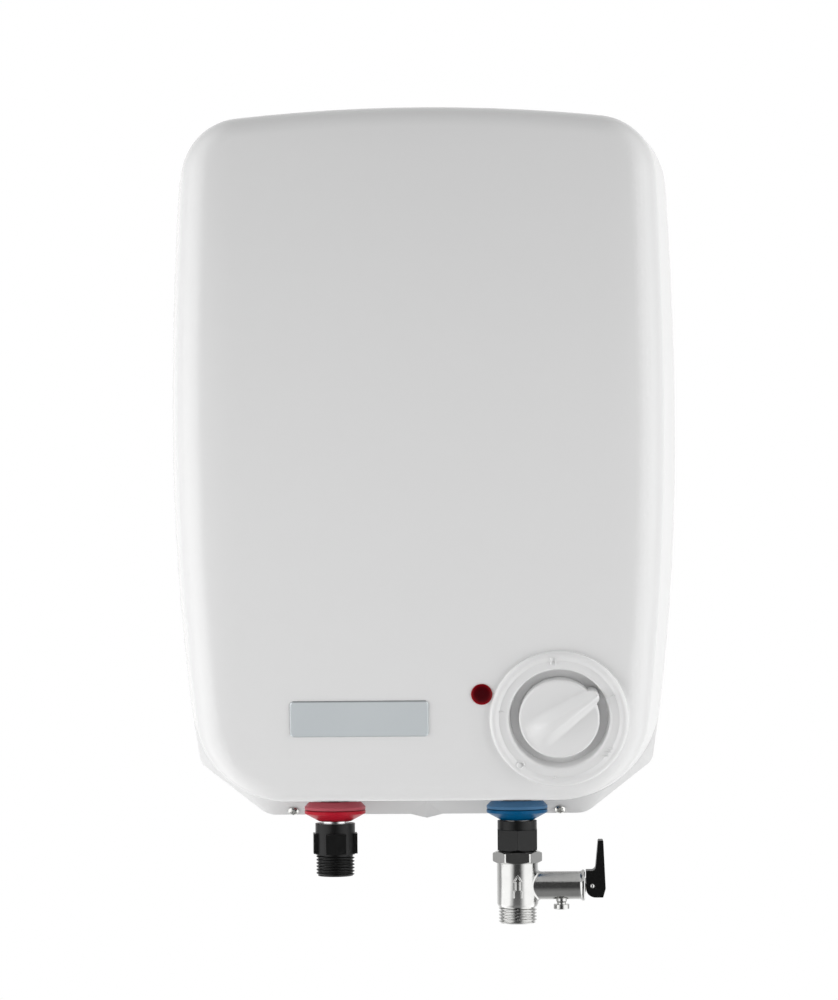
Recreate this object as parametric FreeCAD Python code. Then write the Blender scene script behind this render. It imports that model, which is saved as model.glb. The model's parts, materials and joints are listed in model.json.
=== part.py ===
import FreeCAD, Part
import os
from math import atan, cos, hypot, pi, radians, sin, sqrt, tan

# Small wall-hung electric storage water heater with its pipe fittings and safety valve.
# Millimetres. X runs to the right seen from the front, the front looks along -Y, Z is up.
# Heights in this file are measured from the flat underside of the rear casing. The last
# step moves everything down by HANG_HEIGHT, so that the origin lies on the wall, half way
# between the two slots of the wall bracket.

V = FreeCAD.Vector
UP = V(0, 0, 1)
DOWN = V(0, 0, -1)
RIGHT = V(1, 0, 0)

# Outline of the body, seen from the front at the joint of cover and casing
HALF_WIDTH = 139.0
WIDEST_HEIGHT = 216.0
TOP_HEIGHT = 390.4
SIDE_RADIUS_UPPER = 2000.0
SIDE_RADIUS_LOWER = 1290.0
TOP_RADIUS = 920.0
TOP_CORNER_RADIUS = 41.0
BOTTOM_CORNER_RADIUS = 57.0

# Depths from the wall and the crowned front. The tank and the pipes stand half way.
FRONT_DEPTH = 236.0
TANK_DEPTH = FRONT_DEPTH / 2
SPLIT_BEHIND_PIPES = 16.5
SPLIT_DEPTH = TANK_DEPTH - SPLIT_BEHIND_PIPES
BACK_DEPTH = 3.0
CROWN_RADIUS = 660.0
CROWN_HEIGHT = 196.0
WALL = 3.0
EDGE_ROUND = 15.0
EDGE_BEVEL = EDGE_ROUND / 2
BACK_ROUND = 5.0
SIDE_DRAFT = 5.0
TOP_DRAFT = 4.6
BOTTOM_DRAFT = 4.1
BACK_DRAFT = 1.5

# Chin of the rear casing, which shows below the cover
CHIN_DROP = 7.9
CHIN_LENGTH = 9.0
CHIN_FLAT_HALF = 88.3
CHIN_ANGLE = 38.0
CHIN_FOOT_ROUND = 14.0
CHIN_CORNER_ROUND = 8.0
KEEL_WIDTH = 18.0
KEEL_DROP = 2.2
KEEL_END_DEPTH = 20.0
TONGUE_REACH = 4.0
TONGUE_WALL = 1.8
TONGUE_ROOT = 4.0
SEAM_GAP = 0.3

# Cover screws and their lugs
COVER_SCREW_X = 74.0
COVER_SCREW_RISE = 2.6
COVER_SCREW_HEAD_RADIUS = 3.1
COVER_SCREW_HEAD = 2.0
COVER_SCREW_RADIUS = 1.9
COVER_SCREW_LENGTH = 12.0
SCREW_CLEARANCE = 0.2
LUG_WIDTH = 12.0
LUG_TOP = 17.0
LUG_FRONT = 18.0
LUG_BACK = 13.0
LUG_TOE = 3.0
LUG_STEP = 2.0
LUG_GAP = 0.4

# Dial, lamp and badge on the front
DIAL_X = 72.0
DIAL_HEIGHT = 59.1
DIAL_RADIUS = 36.6
BEAD_RADIUS = 2.2
BEAD_RISE = 0.7
BEAD_TURN = 38.0
BAND_RISE = 1.3
RECESS_RADIUS = 26.5
RECESS_LIP = 1.8
RECESS_DEPTH = 6.0
RECESS_TAPER = 1.0
KNOB_RADIUS = 21.3
KNOB_SKIRT = 2.0
KNOB_RISE = 1.6
KNOB_ROUND = 1.2
GRIP_RISE = 8.4
GRIP_NOSE_DRAFT = 1.2
GRIP_TAIL_DRAFT = 2.0
NOSE_REACH = 24.7
NOSE_RADIUS = 4.2
TAIL_REACH = 19.0
TAIL_RADIUS = 6.5
GRIP_TOP_RADIUS = 2.0
HUB_RADIUS = 5.5
SHAFT_RADIUS = 3.0
SHAFT_COVER = 3.0
POINTER_ANGLE = 34.5
RUNNING = 0.05
CLEAR = 0.3
LAMP_X = 31.4
LAMP_HEIGHT = 72.3
LENS_RADIUS = 5.6
LENS_RISE = 0.9
LENS_STEM_RADIUS = 4.4
LENS_STEM_LENGTH = 8.0
LAMP_HOLDER_RADIUS = 6.5
LAMP_HOLDER_LENGTH = 16.0
LAMP_HOLDER_GAP = 0.5
BADGE_X = -33.0
BADGE_HEIGHT = 59.7
BADGE_WIDTH = 73.0
BADGE_TALL = 19.4
BADGE_ROUND = 2.2
BADGE_THICK = 1.4
BADGE_SINK = 0.6
BADGE_BEVEL = 0.5

# Thermostat behind the dial
STAT_WIDTH = 34.0
STAT_DEPTH = 20.0
STAT_BEVEL = 1.0
STAT_TAB_INSET = 5.0
STAT_TAB_OFFSET = 3.0
STAT_TAB_THICK = 6.0
STAT_TAB_TALL = 6.0
STAT_SCREW_RADIUS = 1.9
STAT_SCREW_REACH = 13.5
STAT_SCREW_HEAD_RADIUS = 3.3
STAT_SCREW_HEAD = 2.0
STAT_SCREW_LENGTH = 12.0
STAT_BORE_DEPTH = 9.0

# Tank and what it holds
FOAM_DEPTH = 24.0
TANK_RADIUS = TANK_DEPTH - FOAM_DEPTH
TANK_WALL = 1.5
TANK_BOTTOM = 60.0
TANK_TOP = 352.0
DOME_RISE = 26.0
KNUCKLE = 16.0
NECK_RADIUS = 40.0
NECK_OPENING = 27.0
NECK_THICK = 8.0
GASKET_THICK = 2.0
FLANGE_THICK = 4.0
BOLT_CIRCLE = 34.0
BOLT_RADIUS = 3.0
BOLT_HEAD_FLATS = 10.0
BOLT_HEAD = 4.0
BOLT_COUNT = 6
BOLT_GAP = 0.1
BOLT_HOLE_FLOOR = 1.0
BOLT_TIP_GAP = 1.0
ELEMENT_RADIUS = 4.0
ELEMENT_BEND = 14.0
ELEMENT_TOP = 236.0
ELEMENT_TAIL = 7.0
PIN_RADIUS = 1.8
PIN_LENGTH = 9.0
POCKET_OFFSET = 15.0
POCKET_RADIUS = 5.0
POCKET_WALL = 1.0
POCKET_TOP = 190.0
POCKET_TAIL = 2.0
BULB_RADIUS = 3.7
BULB_LENGTH = 90.0
CAPILLARY_RADIUS = 1.0
CAPILLARY_DROP = 20.0
CAPILLARY_LEAD = 14.0
ANODE_OFFSET = 14.0
ANODE_RADIUS = 8.0
ANODE_LENGTH = 150.0
ANODE_STUD_RADIUS = 3.0
ANODE_STUD_TAIL = 2.0
ANODE_NUT_FLATS = 10.0
ANODE_NUT = 5.0
CUTOUT_RADIUS = 7.0
CUTOUT_LENGTH = 12.0
BUTTON_RADIUS = 2.0
BUTTON_OUT = 3.0
BUTTON_TRAVEL = 1.5
BUTTON_BORE = 8.0
RESET_ROOM = 2.0
RESET_SPRING_RADIUS = 1.2
RESET_WIRE = 0.25
RESET_TURNS = 3

# Insulation
FOAM_SIDE_GAP = 0.6
FOAM_TANK_GAP = 0.3
SERVICE_TOP = 92.0

# Hanging on the wall
HANG_HEIGHT = 330.0
BRACKET_WIDTH = 208.0
BRACKET_TALL = 30.0
BRACKET_THICK = 2.5
BRACKET_STAND = 15.0
BRACKET_FOOT = 19.0
BRACKET_SLANT = 2.0
SLOT_SPACING = 140.0
SLOT_LENGTH = 16.0
SLOT_RADIUS = 4.0
POCKET_MARGIN = 4.0
HANG_BOLT_RADIUS = 3.0
HANG_BOLT_FLATS = 10.0
HANG_BOLT_HEAD = 4.0
STRAP_THICK = 3.0
STRAP_PAD_HALF = 40.0
SPACER_X = 80.0
SPACER_HEIGHT = 45.0
SPACER_RADIUS = 10.0
SPACER_PLUG = 4.0
SPACER_BEVEL = 1.0
SPACER_TIP = 1.0

# Cable inlet and terminal block
GLAND_X = 45.0
GLAND_DEPTH = 36.0
GLAND_BORE = 4.0
GLAND_RADIUS = 7.0
GLAND_FLANGE_RADIUS = 9.5
GLAND_FLANGE = 2.0
GLAND_LENGTH = 13.0
GLAND_BEVEL = 0.5
GLAND_NUT_RADIUS = 9.5
GLAND_NUT = 4.0
TERMINAL_X = -30.0
TERMINAL_WIDTH = 38.0
TERMINAL_DEEP = 20.0
TERMINAL_TALL = 15.0
TERMINAL_ROUND = 1.5
TERMINAL_WAYS = 3
TERMINAL_HOLE = 2.0
TERMINAL_PITCH = 11.0
TERMINAL_BACK = 50.0

# Pipes and collars
PIPE_SPACING = 100.0
PIPE_RADIUS = 7.8
PIPE_WALL = 1.4
PIPE_END = -12.0
HOT_PIPE_TOP = 332.0
COLD_PIPE_TOP = 92.0
NOTCH_GAP = 1.2
DIFFUSER_RADIUS = 13.0
DIFFUSER_TALL = 12.0
DIFFUSER_WALL = 1.5
DIFFUSER_SOLE = 2.0
DIFFUSER_ROOM = 3.5
DIFFUSER_SLOT = 5.0
COLLAR_TOP = 9.4
COLLAR_TOP_RADIUS = 13.7
COLLAR_RADIUS = 16.75
COLLAR_SHOULDER = 6.3
COLLAR_GROOVE = 4.5
COLLAR_GROOVE_DEEP = 0.5
COLLAR_GROOVE_TALL = 0.6
COLLAR_EDGE = 2.6
COLLAR_FOOT = -1.6
COLLAR_FOOT_RADIUS = 9.0

# Insulating fitting on the hot pipe
THREAD_RADIUS = 10.4775
THREAD_TIP = 1.0
HOT_TOP = -2.9
HOT_RING_RADIUS = 10.9
HOT_RING_BOTTOM = -19.9
HOT_LUG_TOP = -8.3
HOT_LUG_BOTTOM = -19.3
HOT_LUG_REACH = 12.0
HOT_LUG_WIDTH = 11.0
HOT_LUG_TURN = 4.2
HOT_END = -31.7
HOT_BORE = 6.5

# Union on the cold pipe
UNION_TOP = -1.9
UNION_RING_RADIUS = 10.8
UNION_HEX_TOP = -6.9
UNION_HEX_BOTTOM = -18.4
UNION_FLATS = 21.65
UNION_SPIGOT_RADIUS = 9.3
UNION_SPIGOT_LENGTH = 9.0
UNION_BORE = 6.0
UNION_CHAMFER = 1.0
SEAL_THICK = 2.0

# Safety valve body, measured from the cold pipe's axis
NUT_TOP = -18.7
NUT_CORNERS = 27.5
NUT_BOTTOM = -25.3
NUT_CHAMFER = 1.2
BODY_RADIUS = 11.3
BODY_BOTTOM = -47.5
NECK_CHAMFER = 1.6
VALVE_END = -58.2
WATERWAY = 6.6
BRANCH_AXIS = -37.8
BRANCH_RADIUS = 7.7
BRANCH_FILLET = 1.6
BRANCH_END = 33.5
BRANCH_BORE = 6.0
SEAT_BORE = 4.0
SEAT_PLANE = 12.5

# Relief mechanism: bonnet, stem, cam lever
RING_NECK_RADIUS = 7.75
RING_RADIUS = 8.65
RING_LIP = 1.4
RING_ROUND = 0.7
RING_END = 36.9
BONNET_PLUG = 6.0
PIN_X = 40.9
LEVER_PIN_RADIUS = 1.3
CAM_LOW = 3.35
CAM_LIFT = 3.05
CAM_ANGLE = 90.0
CAM_GAP = 0.1
CAM_STEPS = 8
BOSS_RADIUS = 3.8
STEM_RADIUS = 2.0
STEM_TIP = 2.3
STEM_DISC_RADIUS = 5.4
STEM_DISC = 2.0
RELIEF_SEAL = 1.6
RELIEF_SPRING_RADIUS = 4.4
RELIEF_WIRE = 0.5
RELIEF_TURNS = 4
LEVER_WIDTH = 12.0
LEVER_SLOT_GAP = 0.3
LEVER_OUTER = 6.2
LEVER_SHOULDER = 8.3
LEVER_TOP = 24.9
LEVER_FOOT_INNER = 1.7
LEVER_TIP_INNER = 3.3
LEVER_TIP_BEVEL = 0.4
LEVER_CROOK = 2.0
LEVER_HEEL_OUTER = 7.3
LEVER_HEEL_RISE = 1.5
LEVER_HEEL_IN = 1.4

# Drain nozzle under the branch
NOZZLE_X = 24.0
NOZZLE_RADIUS = 3.0
NOZZLE_BORE = 1.8
NOZZLE_FOOT = 0.9
NOZZLE_WAIST_RADIUS = 2.5
NOZZLE_WAIST = 1.7
NOZZLE_NECK = 2.5
NOZZLE_LIP_RADIUS = 4.35
NOZZLE_LIP = 2.8
NOZZLE_ROUND = 0.4

# Springs are wound of a wire with this many flats
COIL_SIDES = 6

# Non-return valve inside the body
CHECK_SEAT = -52.6
CHECK_SEAT_BORE = 4.6
CHECK_DISC_RADIUS = 5.8
CHECK_DISC = 2.0
CHECK_STEM_RADIUS = 1.4
CHECK_STEM_LENGTH = 19.0
CHECK_GUIDE_TOP = -30.2
CHECK_GUIDE_THICK = 2.0
CHECK_WAY_RADIUS = 1.3
CHECK_WAY_REACH = 5.0
CHECK_SPRING_RADIUS = 3.6
CHECK_WIRE = 0.4
CHECK_TURNS = 5

# Values that follow from those above
PIPE_X = PIPE_SPACING / 2
PIPE_Y = -TANK_DEPTH
CHIN_BACK = SPLIT_DEPTH - CHIN_LENGTH
CAM_RATE = CAM_LIFT / radians(CAM_ANGLE)
TANK_AXIS = V(0, -TANK_DEPTH, 0)
NECK_BOTTOM = TANK_BOTTOM - NECK_THICK / 2
GASKET_BOTTOM = NECK_BOTTOM - GASKET_THICK
FLANGE_BOTTOM = GASKET_BOTTOM - FLANGE_THICK
CUTOUT_BOTTOM = FLANGE_BOTTOM - CUTOUT_LENGTH
SHAFT_TOP = GRIP_RISE - SHAFT_COVER
RESET_SPACE = BUTTON_TRAVEL + RESET_ROOM


def arc_edge(centre, start, end):
    """Shorter arc from start to end about centre."""
    out = (start - centre).normalize() + (end - centre).normalize()
    middle = centre + out.normalize() * (start - centre).Length
    return Part.Arc(start, middle, end).toShape()


def circles_meet(a, ra, b, rb):
    """The crossing of two circles in the XZ plane that lies further up and to the right."""
    d = hypot(b[0] - a[0], b[1] - a[1])
    along = (d * d + ra * ra - rb * rb) / (2 * d)
    off = sqrt(ra * ra - along * along)
    ux, uz = (b[0] - a[0]) / d, (b[1] - a[1]) / d
    px, pz = a[0] + along * ux, a[1] + along * uz
    options = [(px - off * uz, pz + off * ux), (px + off * uz, pz - off * ux)]
    return max(options, key=lambda p: p[0] + p[1])


def on_circle(centre, radius, towards):
    """The point of a circle that lies towards another point."""
    d = hypot(towards[0] - centre[0], towards[1] - centre[1])
    return (centre[0] + radius * (towards[0] - centre[0]) / d,
            centre[1] + radius * (towards[1] - centre[1]) / d)


def rounded_foot(side, bottom):
    """Lower right corner of the cover: one large arc, kept as three equal stretches."""
    low_centre = (HALF_WIDTH - SIDE_RADIUS_LOWER, WIDEST_HEIGHT)
    radius = max(BOTTOM_CORNER_RADIUS - (side + bottom) / 2, 1.0)
    z = CHIN_DROP + bottom + radius
    reach = SIDE_RADIUS_LOWER - side - radius
    x = low_centre[0] + sqrt(reach ** 2 - (z - low_centre[1]) ** 2)
    last = on_circle(low_centre, SIDE_RADIUS_LOWER - side, (x, z))
    turn = pi / 2 + atan((last[1] - z) / (last[0] - x))
    angles = [-pi / 2 + turn * step / 3 for step in range(4)]
    points = [(x + radius * cos(a), z + radius * sin(a)) for a in angles]
    return points, [(x, z)] * 3


def chin_foot(side, bottom):
    """Lower right corner of the casing: small arc, straight slope, small arc."""
    low_centre = (HALF_WIDTH - SIDE_RADIUS_LOWER, WIDEST_HEIGHT)
    slope = radians(CHIN_ANGLE)
    ux, uz = cos(slope), sin(slope)
    corner = (CHIN_FLAT_HALF - bottom * tan(slope / 2), bottom)
    foot = max(CHIN_FOOT_ROUND - bottom, 1.0)
    run = foot * tan(slope / 2)
    first = (corner[0] - run, corner[1])
    second = (corner[0] + run * ux, corner[1] + run * uz)
    top = max(CHIN_CORNER_ROUND - (side + bottom) / 2, 1.0)
    start = (corner[0] - top * uz - low_centre[0], corner[1] + top * ux - low_centre[1])
    reach = SIDE_RADIUS_LOWER - side - top
    half = start[0] * ux + start[1] * uz
    s = -half + sqrt(half ** 2 - (start[0] ** 2 + start[1] ** 2 - reach ** 2))
    centre = (start[0] + s * ux + low_centre[0], start[1] + s * uz + low_centre[1])
    third = (centre[0] + top * uz, centre[1] - top * ux)
    fourth = on_circle(low_centre, SIDE_RADIUS_LOWER - side, centre)
    return [first, second, third, fourth], [(first[0], first[1] + foot), None, centre]


def outline(depth, side, top, bottom, foot):
    """Closed wire of the body's outline at one depth, drawn in by the three insets."""
    up_centre = (HALF_WIDTH - SIDE_RADIUS_UPPER, WIDEST_HEIGHT)
    low_centre = (HALF_WIDTH - SIDE_RADIUS_LOWER, WIDEST_HEIGHT)
    top_centre = (0.0, TOP_HEIGHT - TOP_RADIUS)
    corner = max(TOP_CORNER_RADIUS - (side + top) / 2, 1.0)
    up_radius = SIDE_RADIUS_UPPER - side
    top_radius = TOP_RADIUS - top
    middle = circles_meet(up_centre, up_radius - corner, top_centre, top_radius - corner)
    points, centres = foot(side, bottom)
    points = points + [(HALF_WIDTH - side, WIDEST_HEIGHT),
                       on_circle(up_centre, up_radius, middle),
                       on_circle(top_centre, top_radius, middle)]
    centres = centres + [low_centre, up_centre, middle]

    def spot(p, mirror=1):
        return V(p[0] * mirror, -depth, p[1])

    def stretch(a, b, centre, mirror):
        if centre is None:
            return Part.LineSegment(spot(a, mirror), spot(b, mirror)).toShape()
        return arc_edge(spot(centre, mirror), spot(a, mirror), spot(b, mirror))

    edges = [Part.LineSegment(spot(points[0], -1), spot(points[0])).toShape()]
    for a, b, centre in zip(points[:-1], points[1:], centres):
        edges.append(stretch(a, b, centre, 1))
    edges.append(arc_edge(spot(top_centre), spot(points[-1]), spot(points[-1], -1)))
    for a, b, centre in zip(points[:0:-1], points[-2::-1], centres[::-1]):
        edges.append(stretch(a, b, centre, -1))
    return Part.Wire(edges)


def loft(first, second):
    solid = Part.makeLoft([first, second], True, True)
    return right_way_out(solid)


def right_way_out(solid):
    if solid.Volume < 0:
        solid = solid.reversed()
    return solid


def placed(shape, base, along=UP):
    """Moves a shape from the origin, with its Z axis turned along a direction."""
    return moved(shape, FreeCAD.Placement(base, FreeCAD.Rotation(UP, along)))


def moved(shape, placement):
    result = shape.copy()
    result.Placement = placement.multiply(shape.Placement)
    return result


def rod(radius, length, base, along=UP):
    return Part.makeCylinder(radius, length, base, along)


def tube(outer, inner, length, base, along=UP):
    return rod(outer, length, base, along).cut(rod(inner, length, base, along))


def turned(profile, base=V(0, 0, 0), along=UP):
    """Solid of revolution. The profile lists (radius, height) corners; a third entry, True,
    makes that point the middle of an arc between its neighbours."""
    points = [(V(p[0], 0, p[1]), len(p) > 2) for p in profile]
    points.append(points[0])
    edges = []
    index = 0
    while index < len(points) - 1:
        here = points[index][0]
        if points[index + 1][1]:
            edges.append(Part.Arc(here, points[index + 1][0], points[index + 2][0]).toShape())
            index += 2
        else:
            edges.append(Part.LineSegment(here, points[index + 1][0]).toShape())
            index += 1
    solid = Part.Face(Part.Wire(edges)).revolve(V(0, 0, 0), UP, 360)
    return placed(right_way_out(solid), base, along)


def prism(sides, across_flats, length, base, along=UP, turn=0.0):
    """Regular prism with a corner at the angle turn."""
    radius = across_flats / 2 / cos(pi / sides)
    corners = []
    for index in range(sides + 1):
        angle = radians(turn) + 2 * pi * index / sides
        corners.append(V(radius * cos(angle), radius * sin(angle), 0))
    solid = Part.Face(Part.makePolygon(corners)).extrude(V(0, 0, length))
    return placed(solid, base, along)


def block(x0, x1, y0, y1, z0, z1):
    return Part.makeBox(x1 - x0, y1 - y0, z1 - z0, V(x0, y0, z0))


def extruded(corners, direction):
    face = Part.Face(Part.makePolygon(corners + [corners[0]]))
    return right_way_out(face.extrude(direction))


def coil(mean_radius, wire, length, turns, base, along):
    """Hidden spring, its wire drawn with flats, wound between the two planes it presses on."""
    rise = length - 2 * wire
    helix = Part.makeHelix(rise / turns, rise, mean_radius)
    corners = []
    for index in range(COIL_SIDES + 1):
        angle = 2 * pi * index / COIL_SIDES
        corners.append(V(mean_radius + wire * cos(angle), 0, wire * sin(angle)))
    solid = Part.Wire(helix).makePipeShell([Part.makePolygon(corners)], True, True)
    return placed(right_way_out(solid), base + along * wire, along)


def front_point(x, height):
    """Point of the crowned front and the direction it faces."""
    lean = (height - CROWN_HEIGHT) / CROWN_RADIUS
    y = -FRONT_DEPTH + CROWN_RADIUS * (1 - sqrt(1 - lean ** 2))
    return V(x, y, height), V(0, -sqrt(1 - lean ** 2), lean)


def front_frame(x, height):
    """Placement with Z out of the front, X to the right and Y up the front."""
    point, out = front_point(x, height)
    up = out.cross(RIGHT)
    matrix = FreeCAD.Matrix(RIGHT.x, up.x, out.x, point.x,
                            RIGHT.y, up.y, out.y, point.y,
                            RIGHT.z, up.z, out.z, point.z, 0, 0, 0, 1)
    return FreeCAD.Placement(matrix)


def on_front(shape, x, height):
    return moved(shape, front_frame(x, height))


def cover_form(inset):
    """The cover as a full block: drafted sides, crowned front, rolled front edge outside and a
    plain bevel on the forms that lie inside it."""
    run = FRONT_DEPTH + WALL - SPLIT_DEPTH
    rear = outline(SPLIT_DEPTH, inset, inset, inset, rounded_foot)
    nose = outline(SPLIT_DEPTH + run, inset + run * tan(radians(SIDE_DRAFT)),
                   inset + run * tan(radians(TOP_DRAFT)),
                   inset + run * tan(radians(BOTTOM_DRAFT)), rounded_foot)
    axis_y = CROWN_RADIUS - FRONT_DEPTH
    crown = rod(CROWN_RADIUS - inset, 4 * HALF_WIDTH, V(-2 * HALF_WIDTH, axis_y, CROWN_HEIGHT), RIGHT)
    body = loft(rear, nose).common(crown)
    rim = []
    for edge in body.Edges:
        middle = edge.valueAt((edge.FirstParameter + edge.LastParameter) / 2)
        off_axis = hypot(middle.y - axis_y, middle.z - CROWN_HEIGHT)
        if abs(off_axis - (CROWN_RADIUS - inset)) < 0.01:
            rim.append(edge)
    if inset < WALL:
        return body.makeFillet(EDGE_ROUND - inset, rim)
    return body.makeChamfer(EDGE_BEVEL, rim)


def casing_form(inset):
    """The casing as a full block: chin strip at the front, drafted to its flat back."""
    run = CHIN_BACK - BACK_DEPTH - inset
    draw = inset + run * tan(radians(BACK_DRAFT))
    strip = loft(outline(SPLIT_DEPTH, inset, inset, inset, rounded_foot),
                 outline(CHIN_BACK, inset, inset, inset, chin_foot))
    back = loft(outline(CHIN_BACK, inset, inset, inset, chin_foot),
                outline(BACK_DEPTH + inset, draw, draw, draw, chin_foot))
    if inset < WALL:
        rim = [e for e in back.Edges if e.BoundBox.YMin > -BACK_DEPTH - inset - 0.01]
        back = back.makeFillet(BACK_ROUND, rim)
    return strip.fuse(back)


def pipe_places():
    return [V(-PIPE_X, PIPE_Y, 0), V(PIPE_X, PIPE_Y, 0)]


def strip_frame(x):
    """Point on the chin strip for a cover screw and the direction out of the strip."""
    out = V(0, -CHIN_DROP, -CHIN_LENGTH).normalize()
    back = (CHIN_DROP - COVER_SCREW_RISE) / CHIN_DROP * CHIN_LENGTH
    return V(x, -SPLIT_DEPTH + back, COVER_SCREW_RISE), out


def dial_ring():
    """Raised bead that runs down into the scale band, and the recess cup of the dial, moulded
    on the cover."""
    bead_centre = DIAL_RADIUS - BEAD_RADIUS
    low = -WALL / 2
    cup = RECESS_RADIUS + WALL
    floor = -RECESS_DEPTH - WALL
    turn = radians(BEAD_TURN)
    half = (pi / 2 + turn) / 2
    middle = (bead_centre + BEAD_RADIUS * cos(half), BEAD_RISE + BEAD_RADIUS * sin(half), True)
    inner = (bead_centre - BEAD_RADIUS * sin(turn), BEAD_RISE + BEAD_RADIUS * cos(turn))
    foot = (inner[0] - (inner[1] - BAND_RISE) / tan(turn), BAND_RISE)
    return turned([(0, floor), (cup, floor), (cup, low), (DIAL_RADIUS, low),
                   (DIAL_RADIUS, BEAD_RISE), middle, inner, foot,
                   (RECESS_RADIUS + RECESS_LIP, BAND_RISE), (0, BAND_RISE)])


def dial_recess():
    """Space inside the dial: rounded lip, tapered wall, flat floor."""
    lip = RECESS_RADIUS + RECESS_LIP
    clear = BAND_RISE + BEAD_RADIUS + 2 * BEAD_RISE
    bend = RECESS_LIP * (1 - cos(pi / 4))
    return turned([(0, -RECESS_DEPTH), (RECESS_RADIUS - RECESS_TAPER, -RECESS_DEPTH),
                   (RECESS_RADIUS, BAND_RISE - RECESS_LIP),
                   (RECESS_RADIUS + bend, BAND_RISE - bend, True), (lip, BAND_RISE),
                   (lip, clear), (0, clear)])


def lug(x):
    """Foot of the cover that reaches behind the chin strip and takes the cover screw."""
    slope = CHIN_DROP / CHIN_LENGTH
    inner = CHIN_DROP + WALL + LUG_GAP
    step = CHIN_LENGTH - LUG_STEP
    corners = [(-LUG_FRONT, CHIN_DROP + WALL / 2), (-LUG_FRONT, LUG_TOP),
               (LUG_BACK - LUG_TOE, LUG_TOP), (LUG_BACK, inner), (step, inner - slope * step),
               (0, inner), (-SEAM_GAP, inner), (-SEAM_GAP, CHIN_DROP + WALL / 2)]
    points = [V(x - LUG_WIDTH / 2, -SPLIT_DEPTH + p[0], p[1]) for p in corners]
    solid = extruded(points, V(LUG_WIDTH, 0, 0))
    point, out = strip_frame(x)
    return solid.cut(rod(COVER_SCREW_RADIUS + RUNNING, 3 * COVER_SCREW_LENGTH, point, out * -1))


def front_cover():
    """Moulded front shell with the dial, lamp hole, badge seat, pipe notches and screw lugs."""
    shell = cover_form(0).cut(cover_form(WALL))
    shell = shell.fuse(on_front(dial_ring(), DIAL_X, DIAL_HEIGHT))
    shell = shell.cut(on_front(dial_recess(), DIAL_X, DIAL_HEIGHT))
    through = 4 * WALL + RECESS_DEPTH
    holes = [(0, SHAFT_RADIUS + CLEAR)]
    holes += [(side * STAT_SCREW_REACH, STAT_SCREW_RADIUS + SCREW_CLEARANCE) for side in (-1, 1)]
    for across, radius in holes:
        hole = rod(radius, through, V(across, 0, -through))
        shell = shell.cut(on_front(hole, DIAL_X, DIAL_HEIGHT))
    lamp = rod(LENS_STEM_RADIUS + RUNNING, 2 * through, V(0, 0, -through))
    shell = shell.cut(on_front(lamp, LAMP_X, LAMP_HEIGHT))
    seat = badge_blank(BADGE_WIDTH + 2 * RUNNING, BADGE_TALL + 2 * RUNNING, 2 * WALL)
    seat.translate(V(0, 0, -BADGE_SINK))
    shell = shell.cut(on_front(seat, BADGE_X, BADGE_HEIGHT))
    for place in pipe_places():
        width = PIPE_RADIUS + NOTCH_GAP
        tall = CHIN_DROP + 3 * WALL
        notch = rod(width, tall, place)
        notch = notch.fuse(block(place.x - width, place.x + width, PIPE_Y,
                                 -SPLIT_DEPTH + WALL, 0, tall))
        shell = shell.cut(notch)
    for x in (-COVER_SCREW_X, COVER_SCREW_X):
        shell = shell.fuse(lug(x))
    return shell.removeSplitter()


def tongue():
    """Lip of the casing that slips inside the cover all round."""
    outer = WALL + SEAM_GAP
    inner = outer + TONGUE_WALL
    front = SPLIT_DEPTH + TONGUE_REACH
    reach = ring_between(front, SPLIT_DEPTH, outer, inner)
    root = ring_between(SPLIT_DEPTH, SPLIT_DEPTH - TONGUE_ROOT, WALL / 2, inner)
    lip = reach.fuse(root)
    gap = LUG_WIDTH / 2 + CLEAR
    for x in (-COVER_SCREW_X, COVER_SCREW_X):
        lip = lip.cut(block(x - gap, x + gap, -SPLIT_DEPTH - 2 * TONGUE_REACH,
                            -SPLIT_DEPTH + 3 * TONGUE_ROOT, 0, LUG_TOP + CLEAR))
    for place in pipe_places():
        width = PIPE_RADIUS + NOTCH_GAP
        lip = lip.cut(block(place.x - width, place.x + width, PIPE_Y,
                            -SPLIT_DEPTH, 0, LUG_TOP))
    return lip


def ring_between(front, back, outer, inner):
    """Ring that follows the body's outline between two depths and two insets."""
    outside = loft(outline(front, outer, outer, outer, rounded_foot),
                   outline(back, outer, outer, outer, rounded_foot))
    inside = loft(outline(front, inner, inner, inner, rounded_foot),
                  outline(back, inner, inner, inner, rounded_foot))
    return outside.cut(inside)


def keel():
    """Shallow V rib along the underside, which runs out over the chin strip."""
    half = KEEL_WIDTH / 2
    lean = tan(radians(BACK_DRAFT))
    front = [V(-half, -CHIN_BACK, WALL / 2), V(-half, -CHIN_BACK, 0), V(0, -CHIN_BACK, -KEEL_DROP),
             V(half, -CHIN_BACK, 0), V(half, -CHIN_BACK, WALL / 2)]
    run = CHIN_BACK - KEEL_END_DEPTH
    rib = extruded(front, V(0, run, run * lean))
    tip = V(0, -SPLIT_DEPTH, CHIN_DROP)
    left, right, low = front[1], front[3], front[2]
    high = V(0, -CHIN_BACK, WALL / 2)
    faces = [Part.Face(Part.makePolygon(loop + [loop[0]])) for loop in
             ([left, low, tip], [low, right, tip], [right, high, tip], [high, left, tip],
              [left, high, right, low])]
    point = right_way_out(Part.Solid(Part.Shell(faces)))
    return rib.fuse(point)


def hanger_pocket(margin, deeper):
    """Hollow in the casing's back in which the wall bracket sits."""
    half = BRACKET_WIDTH / 2 + margin
    tall = BRACKET_TALL / 2 + margin
    return block(-half, half, -BRACKET_STAND - BRACKET_THICK - deeper, 0,
                 HANG_HEIGHT - tall, HANG_HEIGHT + tall)


def hang_bolt_places():
    x = BRACKET_WIDTH / 2 - BRACKET_FOOT / 2
    floor = -BRACKET_STAND - BRACKET_THICK
    return [V(-x, floor, HANG_HEIGHT), V(x, floor, HANG_HEIGHT)]


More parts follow.
